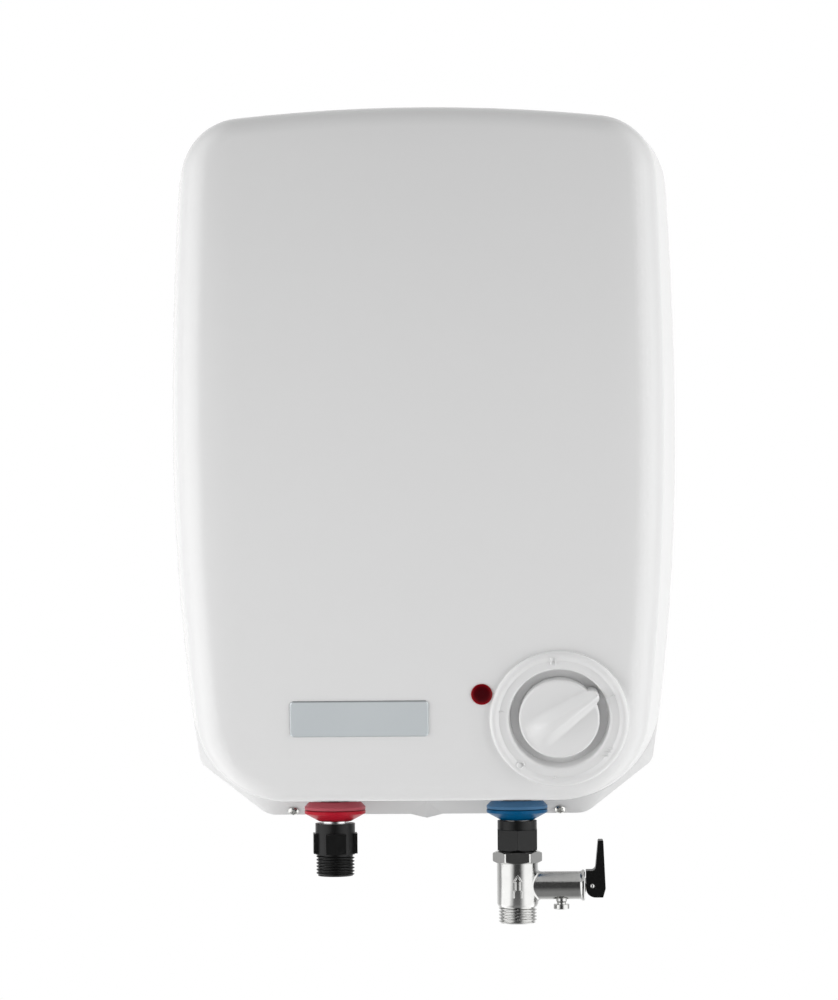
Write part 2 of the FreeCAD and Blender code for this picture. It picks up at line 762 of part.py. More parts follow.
def gland_seat():
    """Point on the casing's underside for the cable inlet and the direction out of it."""
    lean = radians(BACK_DRAFT)
    height = (CHIN_BACK - GLAND_DEPTH) * tan(lean)
    return V(GLAND_X, -GLAND_DEPTH, height), V(0, sin(lean), -cos(lean))


def rear_casing():
    """Tray-shaped rear shell with chin, keel, tongue, bracket pocket and inlet holes."""
    shell = casing_form(0).cut(casing_form(WALL))
    shell = shell.fuse(keel()).fuse(tongue())
    pocket = hanger_pocket(POCKET_MARGIN, 0)
    shell = shell.fuse(hanger_pocket(POCKET_MARGIN + WALL, WALL).common(casing_form(0))).cut(pocket)
    for place in hang_bolt_places():
        shell = shell.cut(rod(HANG_BOLT_RADIUS + BOLT_GAP, 3 * WALL, place, V(0, -1, 0)))
    for x in (-COVER_SCREW_X, COVER_SCREW_X):
        point, out = strip_frame(x)
        shell = shell.cut(rod(COVER_SCREW_RADIUS + SCREW_CLEARANCE, 4 * WALL, point + out * WALL,
                              out * -1))
    seat, out = gland_seat()
    shell = shell.cut(rod(GLAND_RADIUS + RUNNING, 6 * WALL, seat + out * 2 * WALL, out * -1))
    for x in (-SPACER_X, SPACER_X):
        shell = shell.cut(rod(SPACER_PLUG + RUNNING, 4 * WALL, V(x, 0, SPACER_HEIGHT), V(0, -1, 0)))
    return shell.removeSplitter()


def cover_screws():
    """Pan-head screws through the chin strip into the cover's lugs."""
    screws = []
    for x in (-COVER_SCREW_X, COVER_SCREW_X):
        point, out = strip_frame(x)
        head = COVER_SCREW_HEAD
        r = COVER_SCREW_HEAD_RADIUS
        screws.append(turned([(0, -COVER_SCREW_LENGTH), (COVER_SCREW_RADIUS, -COVER_SCREW_LENGTH),
                              (COVER_SCREW_RADIUS, 0), (r, 0), (r, head / 3),
                              (0.75 * r, 0.85 * head, True), (0.3 * r, head), (0, head)],
                             point, out))
    return Part.makeCompound(screws)


def badge_blank(width, tall, thick):
    """Plate with rounded corners, its back on the XY plane."""
    plate = block(-width / 2, width / 2, -tall / 2, tall / 2, 0, thick)
    uprights = [e for e in plate.Edges if e.BoundBox.ZLength > thick / 2]
    return plate.makeFillet(BADGE_ROUND, uprights)


def badge_plate():
    plate = badge_blank(BADGE_WIDTH, BADGE_TALL, BADGE_THICK)
    rim = [e for e in plate.Edges if e.BoundBox.ZMin > BADGE_THICK - RUNNING]
    plate = plate.makeChamfer(BADGE_BEVEL, rim)
    plate.translate(V(0, 0, -BADGE_SINK))
    return on_front(plate, BADGE_X, BADGE_HEIGHT)


def teardrop(nose_reach, nose_radius, tail_reach, tail_radius, height):
    """Outline of the grip: two round ends of different size joined by tangents."""
    nose = nose_reach - nose_radius
    tail = -(tail_reach - tail_radius)
    lean = (tail_radius - nose_radius) / (nose - tail)
    side = sqrt(1 - lean ** 2)
    a = V(nose + nose_radius * lean, nose_radius * side, height)
    b = V(tail + tail_radius * lean, tail_radius * side, height)
    c = V(b.x, -b.y, height)
    d = V(a.x, -a.y, height)
    edges = [Part.Arc(d, V(nose_reach, 0, height), a).toShape(),
             Part.LineSegment(a, b).toShape(),
             Part.Arc(b, V(-tail_reach, 0, height), c).toShape(),
             Part.LineSegment(c, d).toShape()]
    return Part.Wire(edges)


def thermostat_knob():
    """Control knob: dished disc with a pointer grip, hollow underneath."""
    foot = -RECESS_DEPTH + CLEAR
    under = KNOB_RISE - KNOB_SKIRT - RUNNING
    bend = KNOB_ROUND * (1 - cos(pi / 4))
    disc = turned([(0, foot), (KNOB_RADIUS, foot), (KNOB_RADIUS, KNOB_RISE - KNOB_ROUND),
                   (KNOB_RADIUS - bend, KNOB_RISE - bend, True),
                   (KNOB_RADIUS - KNOB_ROUND, KNOB_RISE), (0, KNOB_RISE)])
    low = teardrop(NOSE_REACH, NOSE_RADIUS, TAIL_REACH, TAIL_RADIUS, KNOB_RISE - KNOB_SKIRT)
    high = teardrop(NOSE_REACH - GRIP_NOSE_DRAFT, GRIP_TOP_RADIUS, TAIL_REACH - GRIP_TAIL_DRAFT,
                    GRIP_TOP_RADIUS, GRIP_RISE)
    knob = disc.fuse(loft(low, high))
    hollow = turned([(HUB_RADIUS, foot - CLEAR), (KNOB_RADIUS - KNOB_SKIRT, foot - CLEAR),
                     (KNOB_RADIUS - KNOB_SKIRT, under), (HUB_RADIUS, under)])
    knob = knob.cut(hollow).cut(rod(SHAFT_RADIUS, SHAFT_TOP + RECESS_DEPTH, V(0, 0, -RECESS_DEPTH)))
    knob.rotate(V(0, 0, 0), UP, POINTER_ANGLE)
    return on_front(knob, DIAL_X, DIAL_HEIGHT)


def thermostat_shaft():
    bottom = -RECESS_DEPTH - WALL - STAT_BORE_DEPTH + CLEAR
    return on_front(rod(SHAFT_RADIUS, SHAFT_TOP - bottom, V(0, 0, bottom)), DIAL_X, DIAL_HEIGHT)


def thermostat_body():
    """Capillary thermostat on the back of the recess floor, its bush around the shaft."""
    top = -RECESS_DEPTH - WALL
    half = STAT_WIDTH / 2
    case = block(-half, half, -half, half, top - STAT_DEPTH, top)
    uprights = [e for e in case.Edges if e.BoundBox.ZLength > STAT_DEPTH / 2]
    case = case.makeChamfer(STAT_BEVEL, uprights)
    side = half - STAT_TAB_INSET
    near = STAT_TAB_OFFSET - half
    back = top - STAT_DEPTH
    case = case.fuse(block(-side, side, near, near + STAT_TAB_THICK, back - STAT_TAB_TALL, back))
    case = case.cut(rod(SHAFT_RADIUS + RUNNING, STAT_BORE_DEPTH, V(0, 0, top - STAT_BORE_DEPTH)))
    for side in (-1, 1):
        case = case.cut(rod(STAT_SCREW_RADIUS + RUNNING, STAT_SCREW_LENGTH,
                            V(side * STAT_SCREW_REACH, 0, top - STAT_SCREW_LENGTH)))
    return on_front(case, DIAL_X, DIAL_HEIGHT)


def thermostat_screws():
    """Two screws that hold the thermostat, with their heads under the knob."""
    screws = []
    for side in (-1, 1):
        profile = [(0, -STAT_SCREW_LENGTH), (STAT_SCREW_RADIUS, -STAT_SCREW_LENGTH),
                   (STAT_SCREW_RADIUS, 0), (STAT_SCREW_HEAD_RADIUS, 0),
                   (STAT_SCREW_HEAD_RADIUS, STAT_SCREW_HEAD / 2),
                   (STAT_SCREW_HEAD_RADIUS / 2, STAT_SCREW_HEAD), (0, STAT_SCREW_HEAD)]
        screw = turned(profile, V(side * STAT_SCREW_REACH, 0, -RECESS_DEPTH))
        screws.append(on_front(screw, DIAL_X, DIAL_HEIGHT))
    return Part.makeCompound(screws)


def lamp_lens():
    """Red lens: domed flange in front of the cover, stem through its hole."""
    rise = LENS_RISE
    lens = turned([(0, -LENS_STEM_LENGTH), (LENS_STEM_RADIUS, -LENS_STEM_LENGTH),
                   (LENS_STEM_RADIUS, 0), (LENS_RADIUS, 0), (LENS_RADIUS, rise * 0.5),
                   (LENS_RADIUS * 0.6, rise * 0.93, True), (LENS_RADIUS * 0.2, rise), (0, rise)])
    return on_front(lens, LAMP_X, LAMP_HEIGHT)


def lamp_holder():
    """Clip-on holder of the neon lamp, pushed over the stem of the lens behind the cover."""
    start = -WALL - LAMP_HOLDER_GAP
    profile = [(LENS_STEM_RADIUS + RUNNING, start), (LAMP_HOLDER_RADIUS, start),
               (LAMP_HOLDER_RADIUS, start - LAMP_HOLDER_LENGTH), (0, start - LAMP_HOLDER_LENGTH),
               (0, -LENS_STEM_LENGTH - CLEAR), (LENS_STEM_RADIUS + RUNNING, -LENS_STEM_LENGTH - CLEAR)]
    return on_front(turned(profile), LAMP_X, LAMP_HEIGHT)


def tank_profile(inset):
    """Half section of the tank from its axis: coned ends with a broad bevel at the shoulder."""
    r = TANK_RADIUS - inset
    low = TANK_BOTTOM + inset
    high = TANK_TOP - inset
    bevel = KNUCKLE - inset / 2
    flat = NECK_RADIUS + inset
    return [(0, low), (flat, low), (r - bevel, low + DOME_RISE - KNUCKLE), (r, low + DOME_RISE),
            (r, high - DOME_RISE), (r - bevel, high - DOME_RISE + KNUCKLE), (flat, high), (0, high)]


def inner_tank():
    """Steel tank: domed shell with a bolted neck ring below and its hanging pad behind."""
    tank = turned(tank_profile(0), TANK_AXIS).cut(turned(tank_profile(TANK_WALL), TANK_AXIS))
    ring = rod(NECK_RADIUS, NECK_THICK, TANK_AXIS + V(0, 0, NECK_BOTTOM))
    tank = tank.fuse(ring)
    tank = tank.cut(rod(NECK_OPENING, 4 * NECK_THICK, TANK_AXIS + V(0, 0, NECK_BOTTOM - NECK_THICK)))
    for place in bolt_places():
        tank = tank.cut(rod(BOLT_RADIUS + BOLT_GAP, NECK_THICK - BOLT_HOLE_FLOOR,
                            place + V(0, 0, NECK_BOTTOM)))
    for place in pipe_places():
        tank = tank.cut(rod(PIPE_RADIUS, DOME_RISE * 2, place + V(0, 0, TANK_BOTTOM - DOME_RISE / 2)))
    return tank.removeSplitter()


def bolt_places():
    places = []
    for index in range(BOLT_COUNT):
        angle = 2 * pi * (index + 0.5) / BOLT_COUNT
        places.append(TANK_AXIS + V(BOLT_CIRCLE * cos(angle), BOLT_CIRCLE * sin(angle), 0))
    return places


def element_places():
    return [TANK_AXIS + V(-ELEMENT_BEND, 0, 0), TANK_AXIS + V(ELEMENT_BEND, 0, 0)]


def flange_gasket():
    ring = tube(NECK_RADIUS, NECK_OPENING, GASKET_THICK, TANK_AXIS + V(0, 0, GASKET_BOTTOM))
    for place in bolt_places():
        ring = ring.cut(rod(BOLT_RADIUS + BOLT_GAP, GASKET_THICK, place + V(0, 0, GASKET_BOTTOM)))
    return ring


def heater_flange():
    """Cover plate of the tank neck with the holes of all that passes through it."""
    base = TANK_AXIS + V(0, 0, FLANGE_BOTTOM)
    plate = rod(NECK_RADIUS, FLANGE_THICK, base)
    holes = [(place, BOLT_RADIUS + BOLT_GAP) for place in bolt_places()]
    holes += [(place, ELEMENT_RADIUS) for place in element_places()]
    holes += [(TANK_AXIS + V(0, POCKET_OFFSET, 0), POCKET_RADIUS),
              (TANK_AXIS + V(0, -ANODE_OFFSET, 0), ANODE_STUD_RADIUS)]
    for place, radius in holes:
        plate = plate.cut(rod(radius, FLANGE_THICK, place + V(0, 0, FLANGE_BOTTOM)))
    return plate


def flange_bolts():
    bolts = []
    reach = FLANGE_THICK + GASKET_THICK + NECK_THICK - BOLT_HOLE_FLOOR - BOLT_TIP_GAP
    for place in bolt_places():
        base = place + V(0, 0, FLANGE_BOTTOM)
        head = prism(6, BOLT_HEAD_FLATS, BOLT_HEAD, base - V(0, 0, BOLT_HEAD))
        bolts.append(head.fuse(rod(BOLT_RADIUS, reach, base)))
    return Part.makeCompound(bolts)


def heating_element():
    """Sheathed element: two legs, a round bend above, terminal pins below the flange."""
    start = FLANGE_BOTTOM - ELEMENT_TAIL
    leg = ELEMENT_TOP - ELEMENT_BEND - start
    bend_at = TANK_AXIS + V(0, 0, ELEMENT_TOP - ELEMENT_BEND)
    circle = Part.Face(Part.Wire(Part.makeCircle(ELEMENT_RADIUS, bend_at + V(ELEMENT_BEND, 0, 0), UP)))
    shape = circle.revolve(bend_at, V(0, -1, 0), 180)
    shape = right_way_out(shape)
    for place in element_places():
        shape = shape.fuse(rod(ELEMENT_RADIUS, leg, place + V(0, 0, start)))
        shape = shape.fuse(rod(PIN_RADIUS, PIN_LENGTH, place + V(0, 0, start - PIN_LENGTH)))
    return shape.removeSplitter()


def thermostat_pocket():
    """Closed tube in the water that holds the sensor bulb."""
    base = TANK_AXIS + V(0, POCKET_OFFSET, FLANGE_BOTTOM - POCKET_TAIL)
    length = POCKET_TOP - FLANGE_BOTTOM + POCKET_TAIL
    outer = rod(POCKET_RADIUS, length, base)
    return outer.cut(rod(POCKET_RADIUS - POCKET_WALL, length - POCKET_WALL, base))


def sensor_bulb():
    """Copper bulb in the pocket and the start of its capillary below it."""
    base = TANK_AXIS + V(0, POCKET_OFFSET, FLANGE_BOTTOM + FLANGE_THICK)
    bulb = rod(BULB_RADIUS, BULB_LENGTH, base)
    bulb = bulb.makeFillet(BULB_RADIUS * 0.6, bulb.Edges)
    end, into = capillary_end()
    low = base - V(0, 0, FLANGE_THICK + CAPILLARY_DROP)
    side = V((base.x + end.x) / 2, (base.y + end.y) / 2, low.z - CAPILLARY_DROP / 3)
    route = [base + V(0, 0, CAPILLARY_RADIUS), low, side, end + into * CAPILLARY_LEAD, end]
    return bulb.fuse(bent_tube(route, CAPILLARY_RADIUS))


def capillary_end():
    """Where the capillary meets the back of the thermostat, and the way it leaves there."""
    back = front_frame(DIAL_X, DIAL_HEIGHT)
    end = back.multVec(V(-STAT_WIDTH / 4, STAT_WIDTH / 4, -RECESS_DEPTH - WALL - STAT_DEPTH))
    return end, front_point(DIAL_X, DIAL_HEIGHT)[1] * -1


def bent_tube(route, radius):
    """Round tube along straight runs joined by tangent arcs as large as the runs allow."""
    edges = []
    last = route[0]
    for before, corner, after in zip(route[:-2], route[1:-1], route[2:]):
        into, out = (corner - before), (after - corner)
        share = 0.45 * min(into.Length, out.Length)
        a = corner - into.normalize() * share
        b = corner + out.normalize() * share
        middle = bend_middle(corner, a, b)
        edges.append(Part.LineSegment(last, a).toShape())
        edges.append(Part.Arc(a, middle, b).toShape())
        last = b
    edges.append(Part.LineSegment(last, route[-1]).toShape())
    path = Part.Wire(edges)
    start = (route[1] - route[0]).normalize()
    section = Part.Wire(Part.makeCircle(radius, route[0], start))
    return right_way_out(path.makePipeShell([section], True, False))


def bend_middle(corner, a, b):
    """Middle of the arc that touches both runs at a and b."""
    chord = (a + b) * 0.5
    half = (b - a).Length / 2
    height = (corner - chord).Length
    share = (corner - a).Length
    radius = half * share / height
    centre = chord + (chord - corner).normalize() * sqrt(radius ** 2 - half ** 2)
    return centre + (corner - centre).normalize() * radius


def anode_rod():
    """Magnesium rod on a steel stud, held by a nut below the flange."""
    base = TANK_AXIS + V(0, -ANODE_OFFSET, FLANGE_BOTTOM)
    metal = rod(ANODE_RADIUS, ANODE_LENGTH, base + V(0, 0, FLANGE_THICK))
    tail = ANODE_NUT + ANODE_STUD_TAIL
    return metal.fuse(rod(ANODE_STUD_RADIUS, FLANGE_THICK + tail, base - V(0, 0, tail)))


def anode_nut():
    base = TANK_AXIS + V(0, -ANODE_OFFSET, FLANGE_BOTTOM - ANODE_NUT)
    nut = prism(6, ANODE_NUT_FLATS, ANODE_NUT, base)
    return nut.cut(rod(ANODE_STUD_RADIUS, ANODE_NUT, base))


def thermal_cutout():
    """Safety cut-out against the flange, with the well of its reset button."""
    base = TANK_AXIS + V(0, 0, CUTOUT_BOTTOM)
    case = rod(CUTOUT_RADIUS, CUTOUT_LENGTH, base)
    return case.cut(rod(BUTTON_RADIUS + RUNNING, BUTTON_BORE, base))


def reset_button():
    length = BUTTON_BORE - RESET_SPACE + BUTTON_OUT
    return rod(BUTTON_RADIUS, length, TANK_AXIS + V(0, 0, CUTOUT_BOTTOM - BUTTON_OUT))


def reset_spring():
    start = CUTOUT_BOTTOM + BUTTON_BORE - RESET_SPACE
    return coil(RESET_SPRING_RADIUS, RESET_WIRE, RESET_SPACE, RESET_TURNS,
                TANK_AXIS + V(0, 0, start), UP)


def foam_room(solid):
    """Takes the tank, the service space below and the hanger out of a foam block."""
    solid = solid.cut(turned(tank_profile(-FOAM_TANK_GAP), TANK_AXIS))
    wide = 2 * HALF_WIDTH
    return solid.cut(block(-wide, wide, -2 * FRONT_DEPTH, 0, -HANG_HEIGHT, SERVICE_TOP))


def insulation_front():
    inset = WALL + SEAM_GAP + TONGUE_WALL + FOAM_SIDE_GAP
    return foam_room(cover_form(inset)).removeSplitter()


def insulation_rear():
    inset = WALL + FOAM_SIDE_GAP
    solid = casing_form(inset)
    wide = 2 * HALF_WIDTH
    front = -SPLIT_DEPTH + TONGUE_ROOT + CLEAR
    solid = solid.common(block(-wide, wide, front, 0, 0, 2 * TOP_HEIGHT))
    solid = solid.cut(hanger_pocket(POCKET_MARGIN + WALL + FOAM_SIDE_GAP,
                                    WALL + STRAP_THICK + FOAM_SIDE_GAP))
    pad = STRAP_PAD_HALF + FOAM_SIDE_GAP
    tall = BRACKET_TALL / 2 + FOAM_SIDE_GAP
    solid = solid.cut(block(-pad, pad, -TANK_DEPTH, -BRACKET_STAND, HANG_HEIGHT - tall,
                            HANG_HEIGHT + tall))
    return foam_room(solid).removeSplitter()


def wall_bracket():
    """Pressed steel strip that hooks on the wall screws, on two feet in the casing's pocket."""
    half = BRACKET_WIDTH / 2
    foot = half - BRACKET_FOOT
    t = BRACKET_THICK
    stand = -BRACKET_STAND - t
    web = foot - BRACKET_SLANT
    corners = [(-half, stand), (-foot, stand), (-web, -t), (web, -t), (foot, stand),
               (half, stand), (half, stand + t), (foot + t, stand + t), (web + t, 0),
               (-web - t, 0), (-foot - t, stand + t), (-half, stand + t)]
    points = [V(x, y, HANG_HEIGHT - BRACKET_TALL / 2) for x, y in corners]
    strip = extruded(points, V(0, 0, BRACKET_TALL))
    for x in (-SLOT_SPACING / 2, SLOT_SPACING / 2):
        straight = SLOT_LENGTH / 2 - SLOT_RADIUS
        strip = strip.cut(block(x - straight, x + straight, -2 * t, t,
                                HANG_HEIGHT - SLOT_RADIUS, HANG_HEIGHT + SLOT_RADIUS))
        for side in (-straight, straight):
            strip = strip.cut(rod(SLOT_RADIUS, 3 * t, V(x + side, t, HANG_HEIGHT), V(0, -1, 0)))
    for place in hang_bolt_places():
        strip = strip.cut(rod(HANG_BOLT_RADIUS + BOLT_GAP, t, place + V(0, t, 0), V(0, -1, 0)))
    return strip


def bracket_bolts():
    bolts = []
    for place in hang_bolt_places():
        top = place + V(0, BRACKET_THICK, 0)
        head = prism(6, HANG_BOLT_FLATS, HANG_BOLT_HEAD, top, V(0, 1, 0))
        reach = BRACKET_THICK + WALL + STRAP_THICK
        bolts.append(head.fuse(rod(HANG_BOLT_RADIUS, reach, top, V(0, -1, 0))))
    return Part.makeCompound(bolts)


def tank_strap():
    """Steel bar welded across the back of the tank, which carries it on the bracket bolts."""
    front = -BRACKET_STAND - BRACKET_THICK - WALL
    half = BRACKET_WIDTH / 2
    tall = BRACKET_TALL / 2
    low, high = HANG_HEIGHT - tall, HANG_HEIGHT + tall
    bar = block(-half, half, front - STRAP_THICK, front, low, high)
    bar = bar.fuse(block(-STRAP_PAD_HALF, STRAP_PAD_HALF, -TANK_DEPTH, front, low, high))
    bar = bar.cut(rod(TANK_RADIUS, 2 * BRACKET_TALL, TANK_AXIS + V(0, 0, HANG_HEIGHT - BRACKET_TALL)))
    for place in hang_bolt_places():
        bar = bar.cut(rod(HANG_BOLT_RADIUS + BOLT_GAP, 4 * WALL, place, V(0, -1, 0)))
    return bar


def wall_spacers():
    """Rubber feet that keep the lower end clear of the wall."""
    pads = []
    for x in (-SPACER_X, SPACER_X):
        tip = BACK_DEPTH + WALL + SPACER_TIP
        pads.append(turned([(0, 0), (SPACER_RADIUS - SPACER_BEVEL, 0), (SPACER_RADIUS, SPACER_BEVEL),
                            (SPACER_RADIUS, BACK_DEPTH), (SPACER_PLUG, BACK_DEPTH),
                            (SPACER_PLUG, tip), (0, tip)], V(x, 0, SPACER_HEIGHT), V(0, -1, 0)))
    return Part.makeCompound(pads)


def cable_gland():
    """Inlet bush of the mains cable, with its flange below the casing."""
    seat, out = gland_seat()
    profile = [(GLAND_BORE, GLAND_FLANGE), (GLAND_FLANGE_RADIUS - GLAND_BEVEL, GLAND_FLANGE),
               (GLAND_FLANGE_RADIUS, GLAND_FLANGE - GLAND_BEVEL),
               (GLAND_FLANGE_RADIUS, 0), (GLAND_RADIUS, 0),
               (GLAND_RADIUS, GLAND_FLANGE - GLAND_LENGTH), (GLAND_BORE, GLAND_FLANGE - GLAND_LENGTH)]
    return turned(profile, seat, out)


def gland_nut():
    seat, out = gland_seat()
    start = seat - out * (WALL * cos(radians(BACK_DRAFT)) + GLAND_NUT)
    nut = prism(6, 2 * GLAND_NUT_RADIUS, GLAND_NUT, start, out)
    return nut.cut(rod(GLAND_RADIUS, GLAND_NUT, start, out))


def terminal_block():
    """Connector block on the casing's floor, with a wire hole for each way."""
    lean = radians(BACK_DRAFT)
    floor = (CHIN_BACK - TERMINAL_BACK) * tan(lean) + WALL / cos(lean)
    case = block(-TERMINAL_WIDTH / 2, TERMINAL_WIDTH / 2, 0, TERMINAL_DEEP, 0, TERMINAL_TALL)
    rim = [e for e in case.Edges if e.BoundBox.ZMin > TERMINAL_TALL / 2]
    case = case.makeFillet(TERMINAL_ROUND, rim)
    for index in range(TERMINAL_WAYS):
        x = (index - (TERMINAL_WAYS - 1) / 2) * TERMINAL_PITCH
        case = case.cut(rod(TERMINAL_HOLE, TERMINAL_DEEP, V(x, 0, TERMINAL_TALL / 2), V(0, 1, 0)))
    tilt = FreeCAD.Rotation(RIGHT, BACK_DRAFT)
    return moved(case, FreeCAD.Placement(V(TERMINAL_X, -TERMINAL_BACK, floor), tilt))


def pipe(place, top):
    return tube(PIPE_RADIUS, PIPE_RADIUS - PIPE_WALL, top - PIPE_END, place + V(0, 0, PIPE_END))


def inlet_diffuser():
    """Slotted cap on the cold pipe that spreads the inflow over the tank's floor."""
    place = pipe_places()[1]
    inside = DIFFUSER_RADIUS - DIFFUSER_WALL
    base = COLD_PIPE_TOP - DIFFUSER_TALL + CLEAR
    roof = base + DIFFUSER_TALL + DIFFUSER_ROOM
    top = roof + DIFFUSER_WALL
    sole = base + DIFFUSER_SOLE
    cap = turned([(PIPE_RADIUS, base), (DIFFUSER_RADIUS, base), (DIFFUSER_RADIUS, top), (0, top),
                  (0, roof), (inside, roof), (inside, sole), (PIPE_RADIUS, sole)],
                 V(place.x, place.y, 0))
    for angle in (0, 60, 120):
        slot = block(-DIFFUSER_RADIUS * 2, DIFFUSER_RADIUS * 2, -DIFFUSER_SLOT / 2, DIFFUSER_SLOT / 2,
                     base + DIFFUSER_TALL / 3, base + DIFFUSER_TALL)
        slot.rotate(V(0, 0, 0), UP, angle)
        slot.translate(V(place.x, place.y, 0))
        cap = cap.cut(slot)
    return cap


def collar(place):
    """Coloured rosette under the pipe's notch, its top cut to the slope of the cover."""
    bore = PIPE_RADIUS + RUNNING
    deep = COLLAR_RADIUS - COLLAR_GROOVE_DEEP
    half = COLLAR_GROOVE_TALL / 2
    rosette = turned([(bore, COLLAR_FOOT), (COLLAR_FOOT_RADIUS, COLLAR_FOOT),
                      (COLLAR_RADIUS, COLLAR_EDGE), (COLLAR_RADIUS, COLLAR_GROOVE - half),
                      (deep, COLLAR_GROOVE), (COLLAR_RADIUS, COLLAR_GROOVE + half),
                      (COLLAR_RADIUS, COLLAR_SHOULDER), (COLLAR_TOP_RADIUS, COLLAR_TOP),
                      (bore, COLLAR_TOP)], place)
    return rosette.cut(cover_form(-SEAM_GAP))


def hot_fitting():
    """Plastic insulating fitting: round sleeve with four wrench lugs, male threaded end."""
    place = pipe_places()[0]
    body = rod(HOT_RING_RADIUS, HOT_TOP - HOT_RING_BOTTOM, place + V(0, 0, HOT_RING_BOTTOM))
    reach, half = HOT_LUG_REACH, HOT_LUG_WIDTH / 2
    lugs = block(-reach, reach, -half, half, HOT_LUG_BOTTOM, HOT_LUG_TOP)
    lugs = lugs.fuse(block(-half, half, -reach, reach, HOT_LUG_BOTTOM, HOT_LUG_TOP))
    lugs.rotate(V(0, 0, 0), UP, HOT_LUG_TURN)
    lugs.translate(place)
    end = turned([(0, HOT_END), (THREAD_RADIUS - THREAD_TIP, HOT_END),
                  (THREAD_RADIUS, HOT_END + THREAD_TIP), (THREAD_RADIUS, HOT_RING_BOTTOM),
                  (0, HOT_RING_BOTTOM)], place)
    body = body.fuse(lugs).fuse(end)
    body = body.cut(rod(HOT_BORE, HOT_TOP - HOT_END, place + V(0, 0, HOT_END)))
    return body.cut(rod(PIPE_RADIUS, HOT_TOP - PIPE_END + SEAL_THICK,
                        place + V(0, 0, PIPE_END - SEAL_THICK)))


def cold_union():
    """Plastic union between the cold pipe and the safety valve."""
    place = pipe_places()[1]
    body = rod(UNION_RING_RADIUS, UNION_TOP - UNION_HEX_TOP, place + V(0, 0, UNION_HEX_TOP))
    grip = prism(6, UNION_FLATS, UNION_HEX_TOP - UNION_HEX_BOTTOM,
                 place + V(0, 0, UNION_HEX_BOTTOM), UP, 90)
    wide = UNION_FLATS / 2 / cos(pi / 6)
    cone = turned([(0, UNION_HEX_BOTTOM), (wide - 2 * UNION_CHAMFER, UNION_HEX_BOTTOM),
                   (wide, UNION_HEX_BOTTOM + UNION_CHAMFER), (wide, UNION_HEX_TOP), (0, UNION_HEX_TOP)],
                  place)
    spigot_end = UNION_HEX_BOTTOM - UNION_SPIGOT_LENGTH
    spigot = rod(UNION_SPIGOT_RADIUS, UNION_SPIGOT_LENGTH, place + V(0, 0, spigot_end))
    body = body.fuse(grip.common(cone)).fuse(spigot)
    body = body.cut(rod(UNION_BORE, UNION_TOP - spigot_end, place + V(0, 0, spigot_end)))
    return body.cut(rod(PIPE_RADIUS, UNION_TOP - PIPE_END + SEAL_THICK,
                        place + V(0, 0, PIPE_END - SEAL_THICK)))


def pipe_seal(place):
    """Flat washer under the pipe's end."""
    return tube(PIPE_RADIUS, PIPE_RADIUS - PIPE_WALL, SEAL_THICK, place + V(0, 0, PIPE_END - SEAL_THICK))


def valve_body():
    """Plated brass body: union nut, barrel, male thread and side branch in one casting."""
    place = pipe_places()[1]
    nut = prism(6, NUT_CORNERS * cos(pi / 6), NUT_TOP - NUT_BOTTOM, place + V(0, 0, NUT_BOTTOM))
    half = NUT_CORNERS / 2
    c = NUT_CHAMFER
    nut = nut.common(turned([(0, NUT_BOTTOM), (half - 2 * c, NUT_BOTTOM), (half, NUT_BOTTOM + c),
                             (half, NUT_TOP - c), (half - 2 * c, NUT_TOP), (0, NUT_TOP)], place))
    barrel = turned([(0, VALVE_END), (THREAD_RADIUS - THREAD_TIP, VALVE_END),
                     (THREAD_RADIUS, VALVE_END + THREAD_TIP),
                     (THREAD_RADIUS, BODY_BOTTOM - NECK_CHAMFER), (BODY_RADIUS, BODY_BOTTOM),
                     (BODY_RADIUS, NUT_BOTTOM), (0, NUT_BOTTOM)], place)
    axis = place + V(0, 0, BRANCH_AXIS)
    branch = rod(BRANCH_RADIUS, BRANCH_END, axis, RIGHT)
    casting = barrel.fuse(branch)
    joint = [e for e in casting.Edges if not_round(e) and e.BoundBox.XMin > place.x
             and e.BoundBox.XMax < place.x + BODY_RADIUS + 1]
    casting = casting.makeFillet(BRANCH_FILLET, joint).fuse(nut)
    casting = casting.cut(rod(UNION_SPIGOT_RADIUS, NUT_TOP + UNION_SPIGOT_LENGTH - UNION_HEX_BOTTOM,
                              place + V(0, 0, UNION_HEX_BOTTOM - UNION_SPIGOT_LENGTH)))
    casting = casting.cut(rod(WATERWAY, NUT_TOP - CHECK_SEAT, place + V(0, 0, CHECK_SEAT)))
    casting = casting.cut(rod(CHECK_SEAT_BORE, CHECK_SEAT - VALVE_END, place + V(0, 0, VALVE_END)))
    casting = casting.cut(rod(BRANCH_BORE, BRANCH_END - SEAT_PLANE, axis + V(SEAT_PLANE, 0, 0), RIGHT))
    casting = casting.cut(rod(SEAT_BORE, SEAT_PLANE, axis, RIGHT))
    casting = casting.cut(rod(NOZZLE_RADIUS, BRANCH_RADIUS, axis + V(NOZZLE_X, 0, 0), DOWN))
    return casting.removeSplitter()


def not_round(edge):
    """True for the saddle-shaped seam where the branch meets the barrel."""
    return edge.Curve.TypeId not in ("Part::GeomCircle", "Part::GeomLine")


